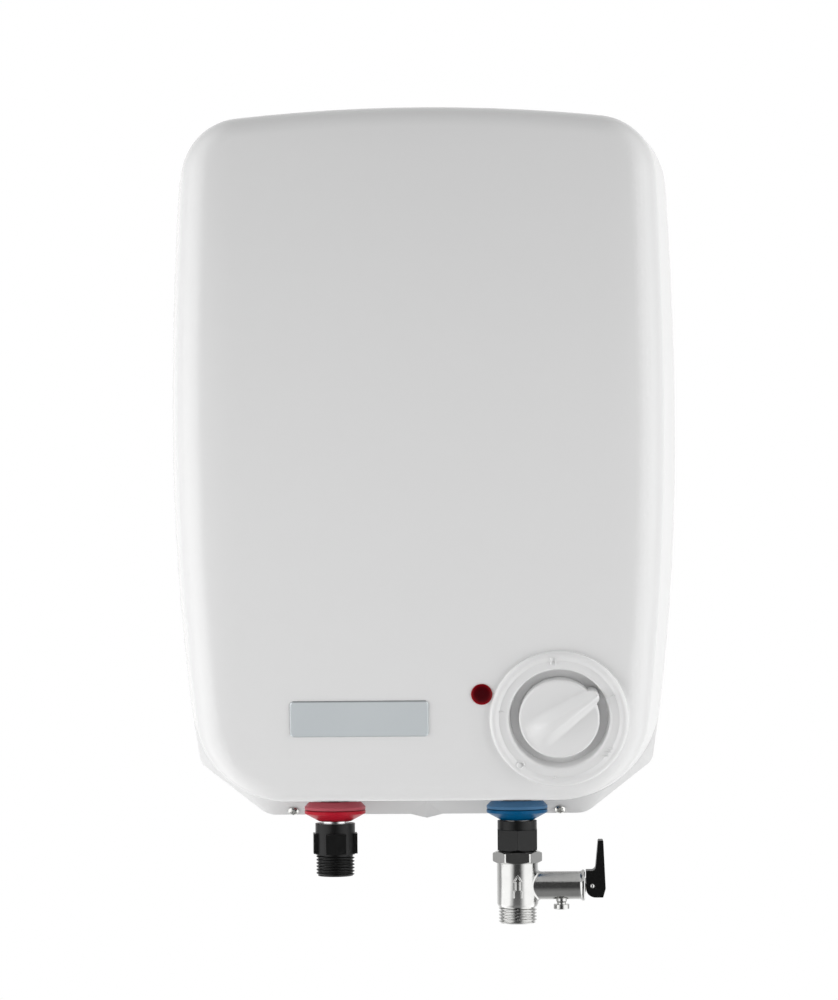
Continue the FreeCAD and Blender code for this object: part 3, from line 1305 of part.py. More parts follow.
def drain_nozzle():
    """Small spout pressed into the branch, with a lip for a hose."""
    place = pipe_places()[1] + V(NOZZLE_X, 0, BRANCH_AXIS)
    start = sqrt(BRANCH_BORE ** 2 - NOZZLE_RADIUS ** 2) + CLEAR
    neck = BRANCH_RADIUS + NOZZLE_NECK
    end = neck + NOZZLE_LIP
    foot = BRANCH_RADIUS + NOZZLE_FOOT
    waist = BRANCH_RADIUS + NOZZLE_WAIST
    rim, bend = NOZZLE_LIP_RADIUS, NOZZLE_ROUND * (1 - cos(pi / 4))
    return turned([(NOZZLE_BORE, start), (NOZZLE_RADIUS, start), (NOZZLE_RADIUS, foot),
                   (NOZZLE_WAIST_RADIUS, waist), (NOZZLE_WAIST_RADIUS, neck),
                   (rim - NOZZLE_ROUND, neck), (rim - bend, neck + bend, True),
                   (rim, neck + NOZZLE_ROUND), (rim, end - NOZZLE_ROUND),
                   (rim - bend, end - bend, True), (rim - NOZZLE_ROUND, end),
                   (NOZZLE_BORE, end)], place, DOWN)


def relief_axis():
    return pipe_places()[1] + V(0, 0, BRANCH_AXIS)


def valve_bonnet():
    """Plug in the branch's mouth: flared ring outside, guide of the stem through it."""
    boss = PIN_X - CAM_LOW - CAM_GAP
    bore = STEM_RADIUS + RUNNING
    start = BRANCH_END - BONNET_PLUG
    lip = RING_END - RING_LIP
    flare = (RING_NECK_RADIUS + (RING_RADIUS - RING_NECK_RADIUS) / 3, (BRANCH_END + 2 * lip) / 3, True)
    bend = RING_ROUND * (1 - cos(pi / 4))
    return turned([(bore, start), (BRANCH_BORE, start), (BRANCH_BORE, BRANCH_END),
                   (RING_NECK_RADIUS, BRANCH_END), flare, (RING_RADIUS, lip),
                   (RING_RADIUS, RING_END - RING_ROUND), (RING_RADIUS - bend, RING_END - bend, True),
                   (RING_RADIUS - RING_ROUND, RING_END), (BOSS_RADIUS, RING_END),
                   (BOSS_RADIUS, boss), (bore, boss)], relief_axis(), RIGHT)


def valve_stem():
    """Relief stem: disc over the seal, rod through the bonnet, eye for the lever pin."""
    disc = SEAT_PLANE + RELIEF_SEAL
    stem = turned([(0, disc), (STEM_DISC_RADIUS, disc), (STEM_DISC_RADIUS, disc + STEM_DISC),
                   (STEM_RADIUS, disc + STEM_DISC), (STEM_RADIUS, PIN_X), (0, PIN_X)],
                  relief_axis(), RIGHT)
    pin_at = relief_axis() + V(PIN_X, 0, 0)
    eye = rod(STEM_TIP, 2 * STEM_RADIUS, pin_at - V(0, STEM_RADIUS, 0), V(0, 1, 0))
    hole = rod(LEVER_PIN_RADIUS, 4 * STEM_RADIUS, pin_at - V(0, 2 * STEM_RADIUS, 0), V(0, 1, 0))
    return stem.fuse(eye).cut(hole)


def relief_seal():
    return rod(STEM_DISC_RADIUS, RELIEF_SEAL, relief_axis() + V(SEAT_PLANE, 0, 0), RIGHT)


def relief_spring():
    start = SEAT_PLANE + RELIEF_SEAL + STEM_DISC
    length = BRANCH_END - BONNET_PLUG - start
    return coil(RELIEF_SPRING_RADIUS, RELIEF_WIRE, length, RELIEF_TURNS,
                relief_axis() + V(start, 0, 0), RIGHT)


def cam_curve(centre):
    """Cam of constant rate: its distance from the pin grows evenly with the turn."""
    points = []
    for step in range(CAM_STEPS + 1):
        turn = radians(CAM_ANGLE) * step / CAM_STEPS
        reach = CAM_LOW + CAM_RATE * turn
        x = -reach * cos(turn) + CAM_RATE * sin(turn)
        z = -reach * sin(turn) - CAM_RATE * cos(turn)
        points.append(centre + V(x, 0, z))
    curve = Part.BSplineCurve()
    curve.interpolate(points)
    return curve.toShape(), points[0], points[-1]


def relief_lever():
    """Cam lever: block with the cam around the pin, handle that stands up beside the union."""
    centre = relief_axis() + V(PIN_X, -LEVER_WIDTH / 2, 0)
    cam, cam_start, cam_end = cam_curve(centre)

    def spot(x, z):
        return centre + V(x, 0, z)

    bevel = LEVER_TIP_BEVEL
    tip = LEVER_TOP - bevel
    crook = LEVER_CROOK
    lean = (LEVER_TIP_INNER - LEVER_FOOT_INNER) / (LEVER_TOP - LEVER_SHOULDER)
    bend = crook * (1 - cos(pi / 4))
    foot_low = spot(LEVER_FOOT_INNER - crook, LEVER_SHOULDER)
    foot_high = spot(LEVER_FOOT_INNER + lean * crook, LEVER_SHOULDER + crook)
    heel_top = spot(LEVER_HEEL_OUTER, -LEVER_HEEL_RISE)
    heel_low = spot(LEVER_HEEL_OUTER - LEVER_HEEL_IN, -CAM_LOW - CAM_LIFT)
    outline_edges = [
        Part.LineSegment(cam_start, spot(-CAM_LOW, LEVER_SHOULDER)),
        Part.LineSegment(spot(-CAM_LOW, LEVER_SHOULDER), foot_low),
        Part.Arc(foot_low, spot(LEVER_FOOT_INNER - bend, LEVER_SHOULDER + bend), foot_high),
        Part.LineSegment(foot_high, spot(LEVER_TIP_INNER, tip)),
        Part.LineSegment(spot(LEVER_TIP_INNER, tip), spot(LEVER_TIP_INNER + bevel, LEVER_TOP)),
        Part.LineSegment(spot(LEVER_TIP_INNER + bevel, LEVER_TOP), spot(LEVER_OUTER - bevel, LEVER_TOP)),
        Part.LineSegment(spot(LEVER_OUTER - bevel, LEVER_TOP), spot(LEVER_OUTER, tip)),
        Part.LineSegment(spot(LEVER_OUTER, tip), heel_top),
        Part.LineSegment(heel_top, heel_low),
        Part.LineSegment(heel_low, cam_end)]
    edges = [edge.toShape() for edge in outline_edges] + [cam.reversed()]
    side = Part.Face(Part.Wire(Part.__sortEdges__(edges)))
    lever = right_way_out(side.extrude(V(0, LEVER_WIDTH, 0)))
    pin_at = relief_axis() + V(PIN_X, 0, 0)
    gap = STEM_RADIUS + LEVER_SLOT_GAP
    room = STEM_TIP + CLEAR
    slot = block(pin_at.x - 3 * CAM_LOW, pin_at.x + room, pin_at.y - gap, pin_at.y + gap,
                 pin_at.z - 3 * CAM_LOW, pin_at.z + room)
    bore = rod(LEVER_PIN_RADIUS + RUNNING, 2 * LEVER_WIDTH, pin_at - V(0, LEVER_WIDTH, 0), V(0, 1, 0))
    return lever.cut(slot).cut(bore)


def lever_pin():
    return rod(LEVER_PIN_RADIUS, LEVER_WIDTH, relief_axis() + V(PIN_X, -LEVER_WIDTH / 2, 0), V(0, 1, 0))


def check_poppet():
    """Non-return poppet: rubber-faced disc on its seat, guided by a thin stem above."""
    place = pipe_places()[1]
    top = CHECK_SEAT + CHECK_DISC
    return turned([(0, CHECK_SEAT), (CHECK_DISC_RADIUS, CHECK_SEAT), (CHECK_DISC_RADIUS, top),
                   (CHECK_STEM_RADIUS, top), (CHECK_STEM_RADIUS, top + CHECK_STEM_LENGTH),
                   (0, top + CHECK_STEM_LENGTH)], place)


def check_guide():
    """Spider washer that guides the poppet's stem and holds the spring."""
    place = pipe_places()[1]
    base = place + V(0, 0, CHECK_GUIDE_TOP - CHECK_GUIDE_THICK)
    guide = tube(WATERWAY, CHECK_STEM_RADIUS + RUNNING, CHECK_GUIDE_THICK, base)
    for angle in (45, 135, 225, 315):
        aside = V(cos(radians(angle)), sin(radians(angle)), 0) * CHECK_WAY_REACH
        guide = guide.cut(rod(CHECK_WAY_RADIUS, CHECK_GUIDE_THICK, base + aside))
    return guide


def check_spring():
    start = CHECK_SEAT + CHECK_DISC
    length = CHECK_GUIDE_TOP - CHECK_GUIDE_THICK - start
    return coil(CHECK_SPRING_RADIUS, CHECK_WIRE, length, CHECK_TURNS,
                pipe_places()[1] + V(0, 0, start), UP)


PARTS = {
    "front_cover": front_cover,
    "rear_casing": rear_casing,
    "cover_screws": cover_screws,
    "badge_plate": badge_plate,
    "thermostat_knob": thermostat_knob,
    "thermostat_shaft": thermostat_shaft,
    "thermostat_body": thermostat_body,
    "thermostat_screws": thermostat_screws,
    "lamp_lens": lamp_lens,
    "lamp_holder": lamp_holder,
    "inner_tank": inner_tank,
    "insulation_front": insulation_front,
    "insulation_rear": insulation_rear,
    "heater_flange": heater_flange,
    "flange_gasket": flange_gasket,
    "flange_bolts": flange_bolts,
    "heating_element": heating_element,
    "thermostat_pocket": thermostat_pocket,
    "sensor_bulb": sensor_bulb,
    "anode_rod": anode_rod,
    "anode_nut": anode_nut,
    "thermal_cutout": thermal_cutout,
    "reset_button": reset_button,
    "reset_spring": reset_spring,
    "wall_bracket": wall_bracket,
    "bracket_bolts": bracket_bolts,
    "tank_strap": tank_strap,
    "wall_spacers": wall_spacers,
    "cable_gland": cable_gland,
    "gland_nut": gland_nut,
    "terminal_block": terminal_block,
    "hot_pipe": lambda: pipe(pipe_places()[0], HOT_PIPE_TOP),
    "cold_pipe": lambda: pipe(pipe_places()[1], COLD_PIPE_TOP),
    "inlet_diffuser": inlet_diffuser,
    "hot_collar": lambda: collar(pipe_places()[0]),
    "cold_collar": lambda: collar(pipe_places()[1]),
    "hot_fitting": hot_fitting,
    "cold_union": cold_union,
    "hot_seal": lambda: pipe_seal(pipe_places()[0]),
    "cold_seal": lambda: pipe_seal(pipe_places()[1]),
    "valve_body": valve_body,
    "drain_nozzle": drain_nozzle,
    "valve_bonnet": valve_bonnet,
    "valve_stem": valve_stem,
    "relief_seal": relief_seal,
    "relief_spring": relief_spring,
    "relief_lever": relief_lever,
    "lever_pin": lever_pin,
    "check_poppet": check_poppet,
    "check_guide": check_guide,
    "check_spring": check_spring,
}

os.makedirs("parts", exist_ok=True)
for name, make in PARTS.items():
    shape = make()
    shape.translate(V(0, 0, -HANG_HEIGHT))
    solids = shape.Solids
    print(name, len(solids), "solid(s)", round(shape.Volume / 1000, 2), "cm3", shape.isValid())
    shape.exportStep("parts/" + name + ".step")
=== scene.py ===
# %% [markdown]
# # Dressing a small storage water heater
# The solids of the heater arrive finished and fixed: their sizes belong to the CAD model.
# This lesson gives them their surfaces and adds the things that are too fine for the
# solids: the pipe threads, the cross in the screws, the embossed marks of the dial and the
# arrow on the safety valve. Everything is in metres, with Z up and the front facing -Y.

# %% Load the fixed model
import json
from math import cos, exp, hypot, log, pi, radians, sin, sqrt, tan

import bmesh
import bpy
from mathutils import Matrix, Vector


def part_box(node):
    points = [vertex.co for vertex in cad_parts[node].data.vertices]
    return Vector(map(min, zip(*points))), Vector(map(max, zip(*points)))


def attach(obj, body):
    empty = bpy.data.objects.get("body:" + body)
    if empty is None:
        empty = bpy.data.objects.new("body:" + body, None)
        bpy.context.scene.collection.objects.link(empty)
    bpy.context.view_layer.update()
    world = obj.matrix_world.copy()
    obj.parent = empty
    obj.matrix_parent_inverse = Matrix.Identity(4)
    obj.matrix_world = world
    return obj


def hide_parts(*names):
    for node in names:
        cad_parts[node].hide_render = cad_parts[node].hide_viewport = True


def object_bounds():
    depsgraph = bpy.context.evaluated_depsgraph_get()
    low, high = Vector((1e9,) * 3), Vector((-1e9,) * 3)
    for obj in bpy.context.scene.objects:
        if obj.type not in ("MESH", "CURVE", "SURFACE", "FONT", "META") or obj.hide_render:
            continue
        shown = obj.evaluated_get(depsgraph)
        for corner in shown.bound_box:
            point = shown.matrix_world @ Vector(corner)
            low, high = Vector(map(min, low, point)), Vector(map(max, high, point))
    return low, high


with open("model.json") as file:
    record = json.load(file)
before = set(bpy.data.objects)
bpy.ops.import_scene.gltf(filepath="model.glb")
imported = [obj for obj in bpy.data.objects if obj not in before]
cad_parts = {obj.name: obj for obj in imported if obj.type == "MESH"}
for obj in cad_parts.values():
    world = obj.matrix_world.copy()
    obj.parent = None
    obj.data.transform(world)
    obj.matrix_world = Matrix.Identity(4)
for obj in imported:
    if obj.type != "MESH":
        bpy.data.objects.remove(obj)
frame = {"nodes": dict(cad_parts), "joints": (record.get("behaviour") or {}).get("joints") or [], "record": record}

CAD_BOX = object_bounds()
MM = 0.001
NODES = frame["nodes"]


def rounded(numbers, places=4):
    return [round(number, places) for number in numbers]


print("nodes:", len(NODES), "box:", rounded(CAD_BOX[0]), rounded(CAD_BOX[1]))

# %% [markdown]
# Shader maths is easier to read as an expression than as a list of nodes. A Wire holds one
# output socket, and its operators add Math nodes. Colours and vectors would turn grey in a
# Math node, so they have their own Mix and Vector Math calls further down.

# %% A socket that can be added and multiplied
class Wire:
    def __init__(self, finish, socket):
        self.finish = finish
        self.socket = socket

    def math(self, operation, *terms):
        return self.finish.node("ShaderNodeMath", {"operation": operation}, dict(enumerate(terms)))

    def __add__(self, other):
        return self.math("ADD", self, other)

    def __radd__(self, other):
        return self.math("ADD", other, self)

    def __sub__(self, other):
        return self.math("SUBTRACT", self, other)

    def __rsub__(self, other):
        return self.math("SUBTRACT", other, self)

    def __mul__(self, other):
        return self.math("MULTIPLY", self, other)

    def __rmul__(self, other):
        return self.math("MULTIPLY", other, self)

    def __truediv__(self, other):
        return self.math("DIVIDE", self, other)

    def __pow__(self, other):
        return self.math("POWER", self, other)

    def __abs__(self):
        return self.math("ABSOLUTE", self)

    def clamped(self):
        clamping = {"operation": "ADD", "use_clamp": True}
        return self.finish.node("ShaderNodeMath", clamping, {0: self, 1: 0.0})


# %% [markdown]
# A shading is one node tree on its way, of a material or of the world. Its node method can
# add any node: first the settings, then the values or wires of its sockets.

# %% A node tree that is filled by expressions
class Shading:
    def __init__(self, tree):
        self.tree = tree
        self.tree.nodes.clear()

    def node(self, kind, settings=None, inputs=None, output=0):
        made = self.tree.nodes.new(kind)
        for key, value in (settings or {}).items():
            setattr(made, key, value)
        for key, value in (inputs or {}).items():
            if isinstance(value, Wire):
                self.tree.links.new(value.socket, made.inputs[key])
            else:
                made.inputs[key].default_value = value
        return Wire(self, made.outputs[output])

    def path(self, what):
        return self.node("ShaderNodeLightPath", output=what)

    def end(self, kind, shader):
        out = self.tree.nodes.new(kind)
        self.tree.links.new(shader.socket, out.inputs["Surface"])


# %% [markdown]
# A finish is the shading of one material. Noise is read in object coordinates, which here
# are metres on the heater, so a scale of 1000 gives grains of about a millimetre.

# %% A material that is built from expressions
class Finish(Shading):
    def __init__(self, name):
        self.material = bpy.data.materials.new(name)
        self.material.use_nodes = True
        super().__init__(self.material.node_tree)
        self.place = self.node("ShaderNodeTexCoord", output="Object")

    def axis(self, name):
        return self.node("ShaderNodeSeparateXYZ", inputs={0: self.place}, output=name)

    def stretched(self, x, y, z):
        factors = {0: self.place, 1: (x, y, z)}
        return self.node("ShaderNodeVectorMath", {"operation": "MULTIPLY"}, factors)

    def noise(self, scale, detail=2.0, rough=0.5, at=None):
        return self.node("ShaderNodeTexNoise", inputs={
            "Vector": at or self.place, "Scale": scale, "Detail": detail, "Roughness": rough})

    def blend(self, share, first, second):
        colours = {0: share, 6: rgba(first), 7: rgba(second)}
        return self.node("ShaderNodeMix", {"data_type": "RGBA"}, colours, output=2)

    def bump(self, height, depth):
        return self.node("ShaderNodeBump", inputs={
            "Height": height, "Distance": depth, "Strength": 1.0})

    def surface(self, **sockets):
        shader = self.node("ShaderNodeBsdfPrincipled", inputs={
            key.replace("_", " "): value for key, value in sockets.items()})
        self.end("ShaderNodeOutputMaterial", shader)
        return self.material


def rgba(colour):
    return colour if isinstance(colour, Wire) else (*colour, 1.0)


# %% [markdown]
# The front cover is glossy white plastic. On the real thing it isn't perfectly even: the
# moulding leaves a slight waviness, and hands leave duller patches. Where the two shells
# meet, their narrow gap lies in shade, and that shade is painted as a dark hairline. The
# joint is flush in the solids, so the painted shade sits at its depth. The cover's screw
# lugs reach 13 mm behind the joint, so the cover's box gives that depth.

# %% White plastics of the shells, the knob and the inlet
LUGS_BEHIND = 13 * MM
SPLIT_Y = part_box("front_cover")[1].y - LUGS_BEHIND
HAIRLINE = 0.45 * MM
GAP_SHADE_DARK = 0.45
BLEMISH = 0.006
print("joint of the shells at y =", round(SPLIT_Y, 4))


def white_plastic(name, colour, gloss, grain, relief, gap_shade=False):
    f = Finish(name)
    patches = f.noise(9, 3)
    smears = f.noise(38, 4, 0.6, f.stretched(1, 1, 0.35))
    specks = f.noise(grain, 2)
    shade = 1 - BLEMISH * patches
    if gap_shade:
        # painted shade: a dark hairline where the gap between the shells lies in shade
        line = (1 - abs(f.axis("Y") - SPLIT_Y) / HAIRLINE).clamped()
        shade = shade - GAP_SHADE_DARK * line
    tone = f.blend(shade.clamped(), [c * 0.1 for c in colour], colour)
    return f.surface(Base_Color=tone, Roughness=gloss + 0.008 * smears,
                     Normal=f.bump(specks, relief), IOR=1.49)


cover_white = white_plastic("cover_white", (0.805, 0.805, 0.805), 0.26, 700, 0.004 * MM, gap_shade=True)
casing_white = white_plastic("casing_white", (0.755, 0.755, 0.755), 0.40, 2600, 0.020 * MM, gap_shade=True)
knob_white = white_plastic("knob_white", (0.805, 0.805, 0.805), 0.22, 900, 0.004 * MM)
inlet_grey = white_plastic("inlet_grey", (0.55, 0.56, 0.56), 0.42, 2600, 0.030 * MM)
terminal_cream = white_plastic("terminal_cream", (0.72, 0.69, 0.58), 0.38, 1800, 0.02 * MM)
print("white plastics made")

# %% [markdown]
# The safety valve is brass with a nickel plating: a mirror with the soft waves of the
# casting under it. Cast metal has two sizes of unevenness, so the bump adds a slow noise
# and a fine one. Tarnish gathers in the hollows of the slow one, and the roughness follows
# the fine one. The other metals differ in colour, gloss and size of grain.

# %% Plated brass and other bright metals
def bright_metal(name, colour, dull, waves, relief, stain=0.12, stretch=(1, 1, 1)):
    f = Finish(name)
    slow = f.noise(waves, 3)
    fine = f.noise(waves * 14, 2, 0.6, f.stretched(*stretch))
    tone = f.blend((slow * 1.6 - 0.4).clamped(), [c * (1 - stain) for c in colour], colour)
    return f.surface(Base_Color=tone, Metallic=1.0, Roughness=dull + 0.10 * fine,
                     Normal=f.bump(slow + 0.3 * fine, relief))


plating = bright_metal("nickel_plating", (0.60, 0.60, 0.59), 0.13, 150, 0.05 * MM)
polished_ring = bright_metal("polished_ring", (0.66, 0.66, 0.65), 0.06, 90, 0.01 * MM)
zinc_screw = bright_metal("zinc_screw", (0.66, 0.66, 0.64), 0.14, 400, 0.005 * MM)
zinc_sheet = bright_metal("zinc_sheet", (0.62, 0.63, 0.64), 0.34, 120, 0.02 * MM, 0.22)
bright_steel = bright_metal("bright_steel", (0.58, 0.58, 0.58), 0.24, 300, 0.01 * MM, 0.1, (1, 1, 12))
copper_tube = bright_metal("copper_tube", (0.78, 0.42, 0.28), 0.28, 200, 0.01 * MM, 0.3)
turned_brass = bright_metal("turned_brass", (0.76, 0.58, 0.27), 0.24, 260, 0.01 * MM, 0.2, (1, 1, 14))
cast_magnesium = bright_metal("cast_magnesium", (0.56, 0.56, 0.55), 0.52, 420, 0.08 * MM, 0.3)
stainless_pipe = bright_metal("stainless_pipe", (0.72, 0.72, 0.72), 0.16, 160, 0.01 * MM, 0.06, (1, 1, 0.1))
print("metals made")

# %% [markdown]
# The badge is a thin silver plate. Its sheen comes from brushing along its length, so the
# noise is squeezed across the plate and drawn out along it. Its edges get painted shade,
# most of all the upper one, and they are found from the box of the plate.

# %% Brushed silver of the badge
def brushed_plate():
    f = Finish("badge_silver")
    strokes = f.noise(1.0, 3, 0.7, f.stretched(60, 4000, 4000))
    cloud = f.noise(22, 2)
    low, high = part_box("badge_plate")
    rim, fade = 0.7 * MM, 0.5 * MM
    top_rim, top_fade = 1.1 * MM, 0.9 * MM
    # painted shade along the plate's edges, darkest along the top one
    top_edge_shade = ((f.axis("Z") - (high.z - top_rim)) / top_fade).clamped()
    right_edge = ((f.axis("X") - (high.x - rim)) / fade).clamped()
    left_edge = ((low.x + rim - f.axis("X")) / fade).clamped()
    low_edge = ((low.z + rim - f.axis("Z")) / fade).clamped()
    other_edge_shade = (0.45 * right_edge + 0.6 * left_edge + 0.45 * low_edge).clamped()
    tone = f.blend(cloud, (0.72, 0.77, 0.80), (0.80, 0.85, 0.87))
    tone = f.blend(0.75 * top_edge_shade, tone, (0.12, 0.12, 0.13))
    tone = f.blend(other_edge_shade, tone, (0.20, 0.20, 0.21))
    return f.surface(Base_Color=tone, Metallic=0.35, Roughness=0.26 + 0.14 * strokes,
                     Normal=f.bump(strokes, 0.004 * MM))


badge_silver = brushed_plate()
print("badge finish made")

# %% [markdown]
# Black fittings are glass-filled plastic: dark grey rather than black, half matt, with a
# fine grain and the odd pale scuff where a spanner has touched them.

# %% Black plastics and rubber
def black_plastic(name, colour, dull, grain, relief, scuff=0.5):
    f = Finish(name)
    rubbed = (f.noise(260, 4, 0.7) * 6 - 3.7).clamped()
    pits = f.noise(grain, 2)
    worn = [c * 2.6 + 0.02 for c in colour]
    return f.surface(Base_Color=f.blend(rubbed * scuff, colour, worn),
                     Roughness=dull + 0.12 * pits + 0.10 * rubbed,
                     Normal=f.bump(pits, relief), IOR=1.34)


fitting_black = black_plastic("fitting_black", (0.006, 0.0062, 0.0062), 0.30, 2000, 0.045 * MM)
lever_black = black_plastic("lever_black", (0.003, 0.003, 0.003), 0.34, 3600, 0.01 * MM, 0.25)
part_black = black_plastic("part_black", (0.02, 0.02, 0.02), 0.45, 2400, 0.03 * MM)
black_rubber = black_plastic("black_rubber", (0.02, 0.02, 0.02), 0.70, 1500, 0.06 * MM, 0.8)
print("black plastics made")

# %% [markdown]
# The collars tell hot from cold. They are coloured plastic with a low gloss. A groove runs
# round them: painted shade makes the colour almost black in it, and the colour is paler above it.

# %% Coloured plastics of collars and button
GROOVE_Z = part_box("hot_collar")[0].z + 6.1 * MM
GROOVE_SHADE_HALF = 0.50 * MM
PALE_FROM = 0.3 * MM
LOW_GLOSS = 0.34


def coloured_plastic(name, deep, bright, pale=None):
    f = Finish(name)
    cloud = f.noise(60, 3)
    dust = (f.noise(500, 5, 0.7) * 5 - 2.9).clamped()
    tone = f.blend(cloud, deep, bright)
    if pale:
        height = f.axis("Z") - GROOVE_Z
        above = (height / PALE_FROM).clamped()
        tone = f.blend(0.85 * above, tone, pale)
        # painted shade: the colour turns almost black along the groove
        line = (1 - abs(height) / GROOVE_SHADE_HALF).clamped()
        tone = f.blend(0.9 * line, tone, [c * 0.25 for c in deep])
    tone = f.blend(0.08 * dust, tone, (0.6, 0.6, 0.6))
    return f.surface(Base_Color=tone, Roughness=LOW_GLOSS + 0.2 * dust,
                     Normal=f.bump(f.noise(1200, 2), 0.006 * MM), IOR=1.25)


collar_red = coloured_plastic("collar_red", (0.40, 0.009, 0.022), (0.49, 0.012, 0.030),
                              pale=(0.44, 0.100, 0.125))
collar_blue = coloured_plastic("collar_blue", (0.000, 0.080, 0.20), (0.000, 0.100, 0.25),
                               pale=(0.075, 0.180, 0.32))
button_red = coloured_plastic("button_red", (0.40, 0.02, 0.02), (0.50, 0.03, 0.03))
print("coloured plastics made")

# %% [markdown]
# The lamp's lens is clear red plastic over a dark hole. Looking straight in it is almost
# black. Near the rim the light comes back out and it glows red, so the colour follows the
# distance from the lens's middle.

# %% Red lens
def ruby_lens():
    f = Finish("ruby_lens")
    low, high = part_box("lamp_lens")
    middle = ((low.x + high.x) / 2, (low.z + high.z) / 2)
    reach = (high.x - low.x) / 2
    across = f.axis("X") - middle[0]
    up = f.axis("Z") - middle[1]
    ring = ((across * across + up * up) ** 0.5 / reach).clamped()
    rays = f.noise(900, 3)
    tone = f.blend((ring ** 6 + 0.08 * rays).clamped(), (0.040, 0.0, 0.002), (0.34, 0.002, 0.008))
    return f.surface(Base_Color=tone, Roughness=0.08 + 0.05 * rays,
                     Normal=f.bump(rays, 0.006 * MM), IOR=1.36)


lens_red = ruby_lens()
print("lens finish made")

# %% [markdown]
# What lies inside doesn't show while the heater is closed. It still gets a true finish,
# because the parts can be taken out one by one: blue enamel with its pinholes, and foam
# with its cells.

# %% Enamel and foam
def enamel():
    f = Finish("tank_enamel")
    spots = (f.noise(700, 2) * 9 - 6).clamped()
    return f.surface(Base_Color=f.blend(spots, (0.035, 0.06, 0.13), (0.01, 0.015, 0.03)),
                     Roughness=0.22 + 0.2 * spots, Normal=f.bump(f.noise(40, 3), 0.2 * MM))


def foam():
    f = Finish("yellow_foam")
    cells = f.node("ShaderNodeTexVoronoi", inputs={"Vector": f.place, "Scale": 900.0})
    return f.surface(Base_Color=f.blend(cells, (0.62, 0.52, 0.30), (0.80, 0.72, 0.48)),
                     Roughness=0.86 + 0.1 * cells, Normal=f.bump(cells, 0.25 * MM))


tank_enamel = enamel()
yellow_foam = foam()
print("inner finishes made")

# %% [markdown]
# Each slot of the record now gets its finish. Setting the material on the object's slots
# leaves the CAD mesh itself alone.

# %% Hand the finishes to the solids
FINISH_OF = {
    "cover_plastic": cover_white, "casing_plastic": casing_white, "zinc_screws": zinc_screw,
    "badge_metal": badge_silver, "knob_plastic": knob_white, "steel": bright_steel,
    "black_plastic": part_black, "lamp_red": lens_red, "enamel_steel": tank_enamel,
    "foam": yellow_foam, "rubber": black_rubber, "copper": copper_tube,
    "magnesium": cast_magnesium, "red_plastic": button_red, "zinc_sheet": zinc_sheet,
    "terminal_plastic": terminal_cream, "pipe_steel": stainless_pipe, "collar_red": collar_red,
    "collar_blue": collar_blue, "fitting_black": fitting_black, "valve_plated": plating,
    "brass": turned_brass, "lever_black": lever_black,
}
SLOT_OF = {part["node"]: part["material_slot"] for part in frame["record"]["subparts"]}
FINISH_OF_NODE = {"valve_bonnet": polished_ring, "cable_gland": inlet_grey, "gland_nut": inlet_grey}

for name, solid in NODES.items():
    finish = FINISH_OF_NODE.get(name, FINISH_OF[SLOT_OF[name]])
    for index in range(max(1, len(solid.data.materials))):
        if solid.data.materials:
            solid.material_slots[index].link = "OBJECT"
            solid.material_slots[index].material = finish
        else:
            solid.data.materials.append(finish)
print("finished nodes:", len(NODES))

# %% [markdown]
# New pieces are made in mesh code. One helper turns points and faces into an object, gives
# it its finish and lets it ride on its body.

# %% From points and faces to a riding piece
def piece(name, points, faces, finish, body="heater", smooth=35):
    mesh = bpy.data.meshes.new(name)
    mesh.from_pydata([tuple(p) for p in points], [], faces)
    return adopt(name, mesh, finish, body, smooth)


def adopt(name, mesh, finish, body, smooth):
    work = bmesh.new()
    work.from_mesh(mesh)
    bmesh.ops.remove_doubles(work, verts=work.verts, dist=0.5e-6)
    bmesh.ops.recalc_face_normals(work, faces=work.faces)
    for face in work.faces:
        face.smooth = True
    for edge in work.edges:
        edge.smooth = len(edge.link_faces) == 2 and edge.calc_face_angle(0) < radians(smooth)
    work.to_mesh(mesh)
    work.free()
    mesh.materials.clear()
    mesh.materials.append(finish)
    thing = bpy.data.objects.new(name, mesh)
    bpy.context.scene.collection.objects.link(thing)
    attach(thing, body)
    return thing


def grid_faces(rows, columns, start=0):
    """Faces between the rows of a grid of points that closes round an axis."""
    faces = []
    for row in range(rows - 1):
        for column in range(columns):
            a = start + row * columns + column
            b = start + row * columns + (column + 1) % columns
            faces.append((a, b, b + columns, a + columns))
    return faces


print("two rings of 6 points:", len(grid_faces(2, 6)), "faces")

# %% [markdown]
# A half-inch pipe thread has 14 turns to the inch, a pitch of 1.814 mm, and is about
# 1.16 mm deep, here 1.0 mm. The solids have plain spigots at the thread's outer size, which
# is right for fitting them but looks wrong. A thread is a screw surface: its radius depends
# only on how far a point is along the pitch once the turn is taken off. So it is a tall grid
# of points around the axis, with the crest and the root rounded. It starts below a plain
# neck and fades out at its lower end.

# %% A threaded skin around an axis
PITCH = 1.814 * MM
THREAD_DEPTH = 1.0 * MM
AROUND = 72
ROWS_PER_TURN = 10
NECK, RUN_OUT = 0.4, 0.5
FLAT, FLANK = 0.18, 0.64


def thread_radius(share, crest):
    """Radius at a share of the pitch, 0 at the crest, 0.5 at the root."""
    slope = min(max((abs(share - 0.5) * 2 - FLAT) / FLANK, 0.0), 1.0)
    eased = slope * slope * (3 - 2 * slope)
    return crest - THREAD_DEPTH * (1 - eased)


def thread_skin(axis, top, bottom, crest):
    """Points and faces of a thread. NECK and RUN_OUT are shares of its pitch."""
    rows = int((top - bottom) / PITCH * ROWS_PER_TURN) + 1
    root = crest - THREAD_DEPTH
    points = []
    for row in range(rows):
        z = top + (bottom - top) * row / (rows - 1)
        from_top, from_end = (top - z) / PITCH, (z - bottom) / PITCH
        for column in range(AROUND):
            share = (z / PITCH + column / AROUND) % 1.0
            radius = root + (thread_radius(share, crest) - root) * min(1.0, from_end / RUN_OUT)
            if from_top < NECK:
                radius = root
            angle = 2 * pi * column / AROUND
            points.append((axis.x + radius * cos(angle), axis.y + radius * sin(angle), z))
    return points, grid_faces(rows, AROUND)


print("turns to the inch:", round(25.4 * MM / PITCH, 2))

